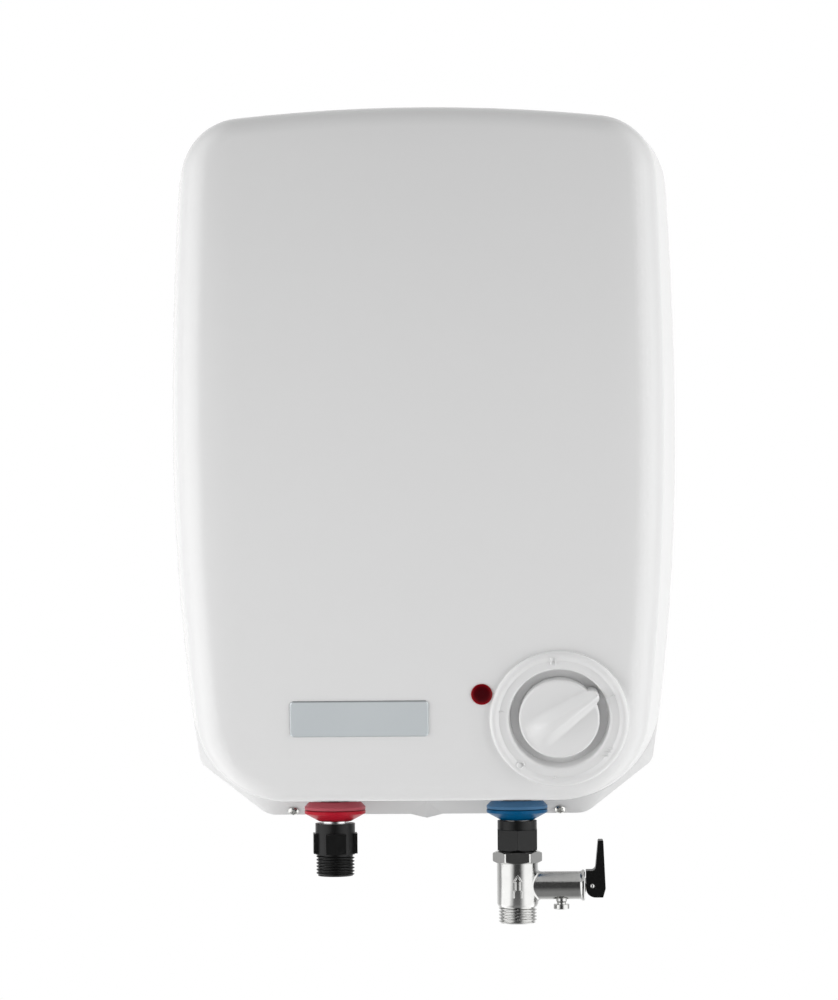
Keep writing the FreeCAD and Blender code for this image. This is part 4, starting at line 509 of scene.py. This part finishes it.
# %% [markdown]
# A CAD mesh is never changed, so a piece that only refines a solid starts as a copy of it.
# Its triangles don't share their points yet, so these are joined first. On the copy of the
# valve the six corners of its nut are bevelled: they then catch a bright line of light, as
# worn metal corners do.

# %% Copies of solids, and softer corners for a nut
def merged_copy(node):
    mesh = NODES[node].data.copy()
    work = bmesh.new()
    work.from_mesh(mesh)
    bmesh.ops.remove_doubles(work, verts=work.verts, dist=1e-6)
    return mesh, work


def box_axis(node):
    low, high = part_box(node)
    return Vector(((low.x + high.x) / 2, (low.y + high.y) / 2, 0))


def soften_corners(work, axis, inside, width):
    """Bevel the sharp upright edges further out than a radius, the corners of a nut."""
    corners = []
    for edge in work.edges:
        a, b = (vert.co for vert in edge.verts)
        upright = abs(a.z - b.z) > 2 * MM and hypot(a.x - b.x, a.y - b.y) < 0.05 * MM
        sharp = edge.calc_face_angle(0) > radians(40)
        if upright and sharp and hypot(a.x - axis.x, a.y - axis.y) > inside:
            corners.append(edge)
    bmesh.ops.bevel(work, geom=corners, offset=width, segments=2, profile=0.5, affect="EDGES")
    print("corners softened:", len(corners))


hot_axis = box_axis("hot_collar")
cold_axis = box_axis("cold_collar")
print("pipes are apart by", round(cold_axis.x - hot_axis.x, 4))

# %% [markdown]
# The fitting and the valve keep their own shape apart from their threaded spigots. On the
# copies the outer skin of the spigot is taken off, and the threaded skin goes in its place,
# closed at its upper end by a flat ring. The copy then stands for the solid.

# %% Swap the plain spigots for threads
CREST = 10.4775 * MM
SKIN_DEPTH = 1.4 * MM
NUT_BEVEL, NUT_FACES = 0.55 * MM, 12.5 * MM
HOT_THREAD_LONG, COLD_THREAD_LONG = 11.8 * MM, 9.1 * MM


def threaded_copy(name, node, axis, long, finish, has_nut=False):
    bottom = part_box(node)[0].z
    top = bottom + long
    mesh, work = merged_copy(node)
    if has_nut:
        soften_corners(work, axis, NUT_FACES, NUT_BEVEL)
    for_removal = []
    for face in work.faces:
        middle = face.calc_center_median()
        away = hypot(middle.x - axis.x, middle.y - axis.y)
        on_spigot = bottom + 0.02 * MM < middle.z < top - 0.05 * MM
        if on_spigot and away > CREST - SKIN_DEPTH:
            for_removal.append(face)
    bmesh.ops.delete(work, geom=for_removal, context="FACES")
    work.to_mesh(mesh)
    work.free()
    points, faces = thread_skin(axis, top, bottom, CREST)
    shoulder = len(points)
    turns = [2 * pi * i / AROUND for i in range(AROUND)]
    points += [(axis.x + CREST * cos(t), axis.y + CREST * sin(t), top) for t in turns]
    for i in range(AROUND):
        j = (i + 1) % AROUND
        faces.append((shoulder + i, shoulder + j, j, i))
    base = len(mesh.vertices)
    joined = bpy.data.meshes.new(name)
    all_points = [tuple(v.co) for v in mesh.vertices] + points
    all_faces = [tuple(p.vertices) for p in mesh.polygons]
    all_faces += [tuple(base + i for i in face) for face in faces]
    joined.from_pydata(all_points, [], all_faces)
    thing = adopt(name, joined, finish, "heater", 35)
    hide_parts(node)
    print(name, "thread turns:", round(long / PITCH, 1))


threaded_copy("hot_fitting_threaded", "hot_fitting", hot_axis, HOT_THREAD_LONG,
              fitting_black)
threaded_copy("valve_body_threaded", "valve_body", cold_axis, COLD_THREAD_LONG,
              plating, has_nut=True)

# %% [markdown]
# The real cover rolls off to its flanks a little earlier than the solid does, which shows as
# a broad soft band of light at each side. A copy of the cover's mesh is cut into strips near
# its sides, and the strips bend back, more and more towards the edge. Further back on the
# flanks the shift fades to nothing, so that the joint with the casing stays closed.

# %% Broader roll at the sides of the cover
ROLL_FROM = 97 * MM
ROLL_RATE = 5.0
STRIPS, STRIP_WIDTH = 15, 2.2 * MM
FADE_FRONT, FADE_BACK = -214 * MM, -186 * MM


def rolled_cover():
    mesh, work = merged_copy("front_cover")
    for step in range(STRIPS):
        for side in (-1, 1):
            geometry = work.verts[:] + work.edges[:] + work.faces[:]
            cut = (side * (ROLL_FROM + STRIP_WIDTH * step), 0, 0)
            bmesh.ops.bisect_plane(work, geom=geometry, dist=1e-7, plane_co=cut, plane_no=(1, 0, 0))
    for vert in work.verts:
        past = max(0.0, abs(vert.co.x) - ROLL_FROM)
        share = min(max((FADE_BACK - vert.co.y) / (FADE_BACK - FADE_FRONT), 0.0), 1.0)
        vert.co.y += ROLL_RATE * past ** 2 * share * share * (3 - 2 * share)
    work.to_mesh(mesh)
    work.free()
    thing = adopt("cover_rolled", mesh, cover_white, "heater", 30)
    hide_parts("front_cover")
    print("faces of the rolled cover:", len(mesh.polygons))


rolled_cover()

# %% [markdown]
# The dial lies on the front, which leans and is crowned. The joint of the knob already has
# its middle and its axis, so a matrix made from them carries flat drawings of the dial to
# their place.

# %% Where the dial lies
knob_joint = next(j for j in frame["joints"] if j["name"] == "knob_turn")
DIAL_OUT = Vector(knob_joint["axis"]).normalized()
DIAL_AT = Vector(knob_joint["pos_m"])
DIAL_RIGHT = Vector((1, 0, 0))
DIAL_UP = DIAL_OUT.cross(DIAL_RIGHT)
DIAL = Matrix((
    (DIAL_RIGHT.x, DIAL_UP.x, DIAL_OUT.x, DIAL_AT.x),
    (DIAL_RIGHT.y, DIAL_UP.y, DIAL_OUT.y, DIAL_AT.y),
    (DIAL_RIGHT.z, DIAL_UP.z, DIAL_OUT.z, DIAL_AT.z),
    (0, 0, 0, 1)))
print("dial at", rounded(DIAL_AT))

# %% [markdown]
# Each embossed mark is a round line laid on the dial and half sunk in it, a curve with a
# round bevel. The dial's surface is a bead, a slope and a flat band, so a point's height
# follows from its distance to the middle.

# %% Height of the dial, and a round line
BEAD_AT, BEAD_ROUND, BEAD_UP, BAND_UP = 34.4 * MM, 2.2 * MM, 0.7 * MM, 1.3 * MM
BEAD_TURN = radians(38)


def dial_height(distance):
    """Height of the dial over the plane of the knob's joint, at a distance from its middle."""
    inward = BEAD_AT - distance
    if inward < BEAD_ROUND * sin(BEAD_TURN):
        return BEAD_UP + sqrt(max(BEAD_ROUND ** 2 - inward ** 2, 0.0))
    slope = BEAD_UP + BEAD_ROUND * cos(BEAD_TURN)
    slope -= (inward - BEAD_ROUND * sin(BEAD_TURN)) * tan(BEAD_TURN)
    return max(BAND_UP, slope)


def line_through(name, spots, thick, finish, closed=False):
    """A round line through points in space."""
    curve = bpy.data.curves.new(name, "CURVE")
    curve.dimensions = "3D"
    curve.bevel_depth = thick / 2
    curve.bevel_resolution = 3
    curve.use_fill_caps = True
    line = curve.splines.new("POLY")
    line.points.add(len(spots) - 1)
    line.use_cyclic_u = closed
    for point, spot in zip(line.points, spots):
        point.co = (*spot, 1)
    curve.materials.append(finish)
    thing = bpy.data.objects.new(name, curve)
    bpy.context.scene.collection.objects.link(thing)
    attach(thing, "heater")


print("the bead is", round(dial_height(BEAD_AT) / MM, 2), "mm high")

# %% [markdown]
# The marks hardly stand out from the white plastic: two strokes at the top, a nought at the
# lower left, a dot at the bottom and short strokes at both sides.

# %% Embossed marks of the dial
MARK_UP = 0.22 * MM


def mark(name, flat, thick, closed=False):
    """A raised line through points of the dial's plane, in millimetres from its middle."""
    spots = []
    for x, y in flat:
        x, y = x * MM, y * MM
        spots.append(DIAL @ Vector((x, y, dial_height(hypot(x, y)) + MARK_UP)))
    line_through(name, spots, thick * MM, cover_white, closed)


def around_spot(angle, distance, wide, tall, count):
    """Points of an oval round a spot of the dial."""
    x, y = distance * cos(radians(angle)), distance * sin(radians(angle))
    turns = [2 * pi * i / count for i in range(count)]
    return [(x + wide * cos(t), y + tall * sin(t)) for t in turns]


def stroke(angle, distance, long, tilt):
    """Points of a short straight line with its middle at a spot of the dial."""
    x, y = distance * cos(radians(angle)), distance * sin(radians(angle))
    a, b = long / 2 * cos(radians(tilt)), long / 2 * sin(radians(tilt))
    return [(x + share * a, y + share * b) for share in (-1, -0.5, 0, 0.5, 1)]


mark("mark_top_left", [(-4.1, 29.6 + 0.45 * i) for i in range(11)], 1.15)
mark("mark_top_right", [(-1.8, 29.6 + 0.45 * i) for i in range(11)], 0.9)
mark("mark_nought", around_spot(230, 31.9, 1.9, 1.6, 28), 0.9, closed=True)
mark("mark_dot", around_spot(265, 31.6, 0.25, 0.25, 10), 1.0, closed=True)
for number, angle in enumerate((-40, -35.5, -31)):
    mark("mark_stroke_%d" % number, stroke(angle, 31.0, 2.6, angle + 35), 0.8)
for number, angle in enumerate((24, 172)):
    mark("mark_tick_%d" % number, stroke(angle, 30.6, 2.2, angle), 0.7)
print("marks embossed")

# %% [markdown]
# The knob is the piece that hands touch, and its shape is soft. Seen from the front it is a
# disc with a nose that reaches past it and shows the setting. Both are simple distances
# from the axis, and a soft maximum of the two rounds the corners between them.

# %% Outline of the knob
DISC = 21.2 * MM
NOSE_TIP, NOSE_ROUND = 24.6 * MM, 4.0 * MM
CORNER_SOFT = 0.30 * MM


def soft_max(a, b, soft):
    """The larger of two lengths, with the corner between them rounded."""
    top = max(a, b)
    return top + soft * log(exp((a - top) / soft) + exp((b - top) / soft))


def knob_edge(angle):
    """Distance of the knob's edge from its axis: the disc, or the rounded nose."""
    middle = NOSE_TIP - NOSE_ROUND
    inside = NOSE_ROUND ** 2 - (middle * sin(angle)) ** 2
    reach = middle * cos(angle) + sqrt(inside) if inside > 0 and cos(angle) > 0 else 0.0
    return soft_max(DISC, reach, CORNER_SOFT)


print("knob reaches", round(knob_edge(0) / MM, 2), "and", round(knob_edge(pi) / MM, 2), "mm")

# %% [markdown]
# From the disc rises a grip like a drop: broad and low at its tail, narrow and high at its
# nose, with a top face that has the same drop shape and two flanks that run out into the
# disc. Such a form is a height over each point of the disc. Numbers here are millimetres,
# or shares of the way from the tail to the nose.

# %% Height of the grip over the disc
TAIL_END = -20.0 * MM


def grip(u, v):
    """Rise of the grip at a point u along the pointer and v across it."""
    along = min(max((u - TAIL_END) / (NOSE_TIP - TAIL_END), 0.0), 1.0)
    top_half = (3.9 - 3.3 * along ** 0.7) * MM
    foot_half = (10.6 - 6.2 * along) * MM
    crest = 6.5 * MM * (1 - exp(-((along / 0.22) ** 1.7))) - 1.5 * MM * along ** 2
    t = min(max((abs(v) - top_half) / (foot_half - top_half), 0.0), 1.0)
    flank = 0.7 * (1 - t) + 0.3 * (1 - t * t * (3 - 2 * t))
    crown = 0.35 * MM * min(abs(v) / top_half, 1.0) ** 2
    return max(crest - crown, 0.0) * flank ** 1.25


print("grip is", round(grip(0, 0) / MM, 2), "mm high over the axis")

# %% [markdown]
# The knob is then a round grid of points: rings from the axis to near the edge, some more
# that roll the rim down, and a last one deep in the recess. The grid is turned to the place
# where the pointer stands in the photograph, and laid on the leaning front.

# %% The knob
KNOB_RINGS, ROLL_RINGS, KNOB_AROUND = 44, 5, 192
RISE, RIM_ROUND, SKIRT_END = 1.6 * MM, 1.3 * MM, -5.6 * MM
POINTER = Matrix.Rotation(radians(34.5), 4, "Z")


def knob_points():
    points = []
    for ring in range(KNOB_RINGS + ROLL_RINGS + 1):
        for column in range(KNOB_AROUND):
            angle = 2 * pi * column / KNOB_AROUND
            inner = knob_edge(angle) - RIM_ROUND
            radius = inner * min(ring, KNOB_RINGS) / KNOB_RINGS
            height = RISE + grip(radius * cos(angle), radius * sin(angle))
            if ring > KNOB_RINGS:
                turn = (ring - KNOB_RINGS) / ROLL_RINGS * pi / 2
                radius = inner + RIM_ROUND * sin(turn)
                height -= RIM_ROUND * (1 - cos(turn))
            points.append(Vector((radius * cos(angle), radius * sin(angle), height)))
    return points + [Vector((p.x, p.y, SKIRT_END)) for p in points[-KNOB_AROUND:]]


grip_points = [DIAL @ (POINTER @ p) for p in knob_points()]
grip_faces = grid_faces(len(grip_points) // KNOB_AROUND, KNOB_AROUND)
knob = piece("knob_grip", grip_points, grip_faces, knob_white, "knob", 40)
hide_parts("thermostat_knob")
print("knob points:", len(grip_points))

# %% [markdown]
# The screws that hold the cover have a cross recess. Again a height over a round grid does
# it: a dome with two crossed grooves that get shallower outwards. The head lies square on
# the sloping chin, which the solid's box gives only roughly. So its place and direction are
# worked out from the chin, which rises 7.9 mm and comes forward 9 mm from its lower edge.

# %% Screw heads with a cross
CHIN_DROP, CHIN_LENGTH, KEEL_DROP = 7.9, 9.0, 2.2
SCREW_RISE = 2.6
HEAD, HEAD_HIGH, DOME_END = 3.1 * MM, 2.0 * MM, 3.25 * MM
CROSS_HALF, CROSS_REACH = 0.42 * MM, 1.95 * MM
CROSS_DEEP, CROSS_END = 1.3 * MM, 2.3 * MM
HEAD_RINGS, HEAD_AROUND = 16, 64


def head_height(a, b):
    """Height of a screw's head at a point of its disc, with the cross cut in."""
    radius = hypot(a, b)
    dome = HEAD_HIGH * sqrt(max(0.0, 1 - (radius / DOME_END) ** 2.6))
    in_cross = min(abs(a), abs(b)) < CROSS_HALF and radius < CROSS_REACH
    return dome - CROSS_DEEP * (1 - radius / CROSS_END) if in_cross else dome


def screw_heads():
    low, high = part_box("cover_screws")
    out = Vector((0, -CHIN_DROP, -CHIN_LENGTH)).normalized()
    side = Vector((1, 0, 0))
    up = out.cross(side)
    y = SPLIT_Y + (CHIN_DROP - SCREW_RISE) / CHIN_DROP * CHIN_LENGTH * MM
    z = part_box("rear_casing")[0].z + KEEL_DROP * MM + SCREW_RISE * MM
    points, faces = [], []
    for x in (low.x + HEAD, high.x - HEAD):
        centre = Vector((x, y, z))
        faces += grid_faces(HEAD_RINGS + 1, HEAD_AROUND, start=len(points))
        for ring in range(HEAD_RINGS + 1):
            radius = HEAD * ring / HEAD_RINGS
            for column in range(HEAD_AROUND):
                angle = 2 * pi * column / HEAD_AROUND + pi / 4
                a, b = radius * cos(angle), radius * sin(angle)
                points.append(centre + side * a + up * b + out * head_height(a, b))
    thing = piece("cover_screw_heads", points, faces, zinc_screw, smooth=40)
    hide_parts("cover_screws")
    print("screw heads at", round(low.x + HEAD, 4), round(high.x - HEAD, 4))


screw_heads()

# %% [markdown]
# The pin of the relief lever ends flat in its solid, while the real one is riveted over and
# catches a point of light. A low dome is set on its front end. It rides on the stem, as the
# pin does, and not on the lever.

# %% Domed end of the lever's pin
DOME_SHARE, DOME_RISE, SUNK = 0.92, 0.62, 0.05 * MM
DOME_RINGS, DOME_AROUND = 8, 32


def pin_dome():
    low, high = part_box("lever_pin")
    centre = Vector(((low.x + high.x) / 2, low.y + SUNK, (low.z + high.z) / 2))
    reach = (high.x - low.x) / 2 * DOME_SHARE
    points = []
    for ring in range(DOME_RINGS + 1):
        radius = reach * ring / DOME_RINGS
        rise = DOME_RISE * reach * sqrt(max(0.0, 1 - (radius / reach) ** 2))
        for column in range(DOME_AROUND):
            angle = 2 * pi * column / DOME_AROUND
            points.append(centre + Vector((radius * cos(angle), -rise, radius * sin(angle))))
    faces = grid_faces(DOME_RINGS + 1, DOME_AROUND)
    piece("lever_pin_dome", points, faces, polished_ring, "stem", 60)
    print("pin dome radius:", round(reach, 5))


pin_dome()

# %% [markdown]
# A flow arrow is cast on the front of the valve: a head, a shaft of two ribs and two wider
# ribs for its tail. Each rib is again a round line, laid on the barrel and half sunk in it.

# %% Cast arrow on the valve
BARREL = 11.3 * MM
PIN_RADIUS = 1.3 * MM
BRANCH_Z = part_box("lever_pin")[0].z + PIN_RADIUS


def rib(name, stops, thick):
    """A round line on the barrel, through points in millimetres across and up."""
    spots = []
    for across, up in stops:
        angle = across * MM / BARREL
        x, y = cold_axis.x + BARREL * sin(angle), cold_axis.y - BARREL * cos(angle)
        spots.append((x, y, BRANCH_Z + up * MM))
    line_through(name, spots, thick * MM, plating)


rib("arrow_head", [(-2.2, 2.6), (-1.1, 4.5), (0, 6.3), (1.1, 4.5), (2.2, 2.6)], 1.3)
for side in (-1, 1):
    shaft = [(side * 1.15, up) for up in (3.0, 0.6, -1.8)]
    tail = [(side * 1.5, -1.9), (side * 2.2, -2.7), (side * 2.2, -6.0)]
    rib("arrow_shaft_%d" % (side + 1), shaft, 1.15)
    rib("arrow_tail_%d" % (side + 1), tail, 1.25)
print("arrow ribs: 5")

# %% [markdown]
# The handle of the relief lever, the union, the collars and the badge are moulded blocks.
# Their solids have sharp edges, and real moulded edges are never sharp. A copy of the mesh,
# with flat triangles merged into whole faces, takes a bevel of a few tenths of a millimetre.

# %% Softened lever, union, badge and collars
def bevelled_copy(name, node, finish, body, width):
    mesh, work = merged_copy(node)
    bmesh.ops.dissolve_limit(work, angle_limit=radians(1), verts=work.verts, edges=work.edges)
    work.to_mesh(mesh)
    work.free()
    thing = adopt(name, mesh, finish, body, 30)
    bevel = thing.modifiers.new("edges", "BEVEL")
    bevel.width = width
    bevel.segments = 3
    bevel.limit_method = "ANGLE"
    bevel.angle_limit = radians(32)
    bevel.use_clamp_overlap = True
    bevel.harden_normals = True
    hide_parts(node)


bevelled_copy("relief_lever_soft", "relief_lever", lever_black, "lever", 0.3 * MM)
bevelled_copy("cold_union_soft", "cold_union", fitting_black, "heater", 0.35 * MM)
bevelled_copy("badge_plate_soft", "badge_plate", badge_silver, "heater", 0.15 * MM)
bevelled_copy("hot_collar_soft", "hot_collar", collar_red, "heater", 0.18 * MM)
bevelled_copy("cold_collar_soft", "cold_collar", collar_blue, "heater", 0.18 * MM)
print("soft copies made")

# %% [markdown]
# Bright metal shows nothing but its surroundings, so these are drawn with care. They are a
# white booth whose front is open to a dim room: dark in front, one bright panel at each
# side, paler again behind, and a white backdrop. Low down it is a little paler, and there
# the panels reach further back. The same function serves the floor and the world, because
# a mirror looks a little downwards and would otherwise show a white floor.

# %% What mirrors see in a direction
DARK_FRONT, BRIGHT_PANEL = 0.07, 1.60
PALE_BEHIND, WHITE_BACKDROP, LOW_DOWN = 0.50, 0.43, 0.20


def booth_in_mirror(x, y, z):
    """Light from the direction (x, y, z), a unit vector whose parts are wires."""
    below = ((z * -1 - 0.25) * 2.0).clamped()
    past = ((y - 0.12 - 0.5 * below) * 5).clamped()
    beside = ((abs(x) - 0.28) * 2.6).clamped() * (1 - past)
    behind = (y * 2).clamped()
    backdrop = ((y - 0.55) * 3).clamped()
    room = DARK_FRONT + BRIGHT_PANEL * beside + PALE_BEHIND * behind
    return room + WHITE_BACKDROP * backdrop + LOW_DOWN * below


print("mirrors see", DARK_FRONT, "in front and", DARK_FRONT + BRIGHT_PANEL, "at the sides")

# %% [markdown]
# The heater hangs, so nothing touches the floor. A wide pale floor well below and a white
# world keep the picture plain. Seen straight by the camera both are white. Under the heater
# a share of ordinary diffuse shading keeps the soft shadow, and it fades with distance so
# that the floor's far edge doesn't show.

# %% Floor and backdrop
WHITE, PALE = (1, 1, 1, 1), (0.9, 0.9, 0.9, 1)
MIRRORS_AT = (0, -0.12, -0.36)
SHADOW_SHARE, SHADOW_FADES = 0.10, 2.2


def parts_of(f, vector):
    return [f.node("ShaderNodeSeparateXYZ", inputs={0: vector}, output=axis) for axis in "XYZ"]


def stage_white(name):
    f = Finish(name)
    straight = (f.path("Is Camera Ray") + f.path("Is Transmission Ray")).clamped()
    seen = (straight + f.path("Is Glossy Ray")).clamped()
    away = (f.axis("X") ** 2 + f.axis("Y") ** 2) ** 0.5
    share = 1 - SHADOW_SHARE + SHADOW_SHARE * (away / SHADOW_FADES).clamped()
    both = {0: f.place, 1: MIRRORS_AT}
    from_metal = f.node("ShaderNodeVectorMath", {"operation": "SUBTRACT"}, both)
    heading = f.node("ShaderNodeVectorMath", {"operation": "NORMALIZE"}, {0: from_metal})
    level = straight + (1 - straight) * booth_in_mirror(*parts_of(f, heading))
    glow = f.node("ShaderNodeEmission", inputs={"Color": WHITE, "Strength": level})
    matt = f.node("ShaderNodeBsdfDiffuse", inputs={"Color": PALE})
    mixed = f.node("ShaderNodeMixShader", inputs={0: seen * share, 1: matt, 2: glow})
    f.end("ShaderNodeOutputMaterial", mixed)
    return f.material


def sheet_of_stage(name, corners, finish):
    mesh = bpy.data.meshes.new(name)
    mesh.from_pydata(corners, [], [(0, 1, 2, 3)])
    mesh.materials.append(finish)
    thing = bpy.data.objects.new(name, mesh)
    bpy.context.scene.collection.objects.link(thing)


FLOOR, REACH = CAD_BOX[0][2] - 0.42, 6
floor_corners = [(-REACH, -REACH, FLOOR), (REACH, -REACH, FLOOR),
                 (REACH, REACH, FLOOR), (-REACH, REACH, FLOOR)]
sheet_of_stage("floor", floor_corners, stage_white("floor_white"))
print("floor at", round(FLOOR, 3))

# %% [markdown]
# The world is white for the camera. Ordinary light comes mostly from behind and above, so
# the front of the heater is a shade greyer than its flanks. Mirrors see the booth instead.

# %% World
DIM_FRONT, FROM_BEHIND, FROM_ABOVE, FROM_BELOW = 0.03, 0.66, 0.66, 0.16


def studio_world():
    world = bpy.data.worlds.new("studio")
    bpy.context.scene.world = world
    world.use_nodes = True
    f = Shading(world.node_tree)
    way = f.node("ShaderNodeTexCoord", output="Generated")
    x, y, z = parts_of(f, way)
    behind = ((y - 0.28) * 2.5).clamped()
    above = ((z - 0.25) * 1.6).clamped()
    below = ((z * -1 - 0.25) * 2.0).clamped()
    upright = FROM_ABOVE * above + FROM_BELOW * below
    ordinary = DIM_FRONT + FROM_BEHIND * behind + upright * (1 - behind)
    mirror = booth_in_mirror(x, y, z)
    seen = (f.path("Is Camera Ray") + f.path("Is Transmission Ray")).clamped()
    gloss = f.path("Is Glossy Ray")
    level = seen + (1 - seen) * (gloss * mirror + (1 - gloss) * ordinary)
    sky = f.node("ShaderNodeBackground", inputs={"Color": WHITE, "Strength": level})
    f.end("ShaderNodeOutputWorld", sky)


studio_world()
print("world set")

# %% [markdown]
# Two soft boxes stand near the heater, one at each side and a little in front. Being near,
# they light the sides of the front more than its middle, as in the photograph. Mirrors
# don't see them: the world already has a bright patch for each, which draws one broad
# highlight at each side of the dark middle of the round metal.

# %% Lamps
def soft_box(name, at, aim, wide, tall, watts):
    lamp = bpy.data.lights.new(name, "AREA")
    lamp.shape = "RECTANGLE"
    lamp.size = wide
    lamp.size_y = tall
    lamp.energy = watts
    thing = bpy.data.objects.new(name, lamp)
    bpy.context.scene.collection.objects.link(thing)
    thing.location = at
    thing.rotation_euler = (Vector(aim) - Vector(at)).to_track_quat("-Z", "Y").to_euler()
    thing.visible_glossy = False


MIDDLE = (0, -0.08, -0.15)
LEFT, RIGHT = (-1.15, -0.70, -0.16), (1.10, -0.64, -0.10)
soft_box("left_box", LEFT, MIDDLE, wide=0.9, tall=1.2, watts=11.2)
soft_box("right_box", RIGHT, MIDDLE, wide=0.9, tall=1.2, watts=8.9)
print("lamps: 2")

# %% [markdown]
# The photograph was taken from straight ahead with a long lens, nearly level with the
# middle of the body, turned by one degree and rolled by half a degree. The eye is 2.3 m
# from the pipes, where each of the 838 by 1000 picture points covers 0.55 mm. Its height
# is given from the lower edge of the body, which hangs 330 mm below the wall screws.

# %% Camera
DISTANCE = 2.3
PICTURE_TALL, SENSOR = 1000, 36
POINTS_PER_METRE = PICTURE_TALL / 0.5495
TURN, ROLL = radians(1.0), radians(-0.45)
EYE, HANG, ASIDE = 0.17434, 0.330, -4.6 / POINTS_PER_METRE
camera_data = bpy.data.cameras.new("camera")
camera_data.sensor_fit = "VERTICAL"
camera_data.sensor_height = SENSOR
camera_data.lens = DISTANCE * POINTS_PER_METRE / PICTURE_TALL * SENSOR
camera_data.clip_end = 100
camera = bpy.data.objects.new("camera", camera_data)
bpy.context.scene.collection.objects.link(camera)
bpy.context.scene.camera = camera
camera.location = (DISTANCE * sin(TURN) + ASIDE, cold_axis.y - DISTANCE * cos(TURN), EYE - HANG)
looking = Matrix.Rotation(TURN, 3, "Z") @ Matrix.Rotation(pi / 2, 3, "X")
camera.rotation_euler = (looking @ Matrix.Rotation(ROLL, 3, "Z")).to_euler()
print("camera at", rounded(camera.location, 3), "lens", round(camera_data.lens, 1))

# %% [markdown]
# Colours are to come out as they are written, so the view transform is the plain one. The
# dressed model may not outgrow the solids.

# %% Picture settings
bpy.context.scene.view_settings.view_transform = "Standard"
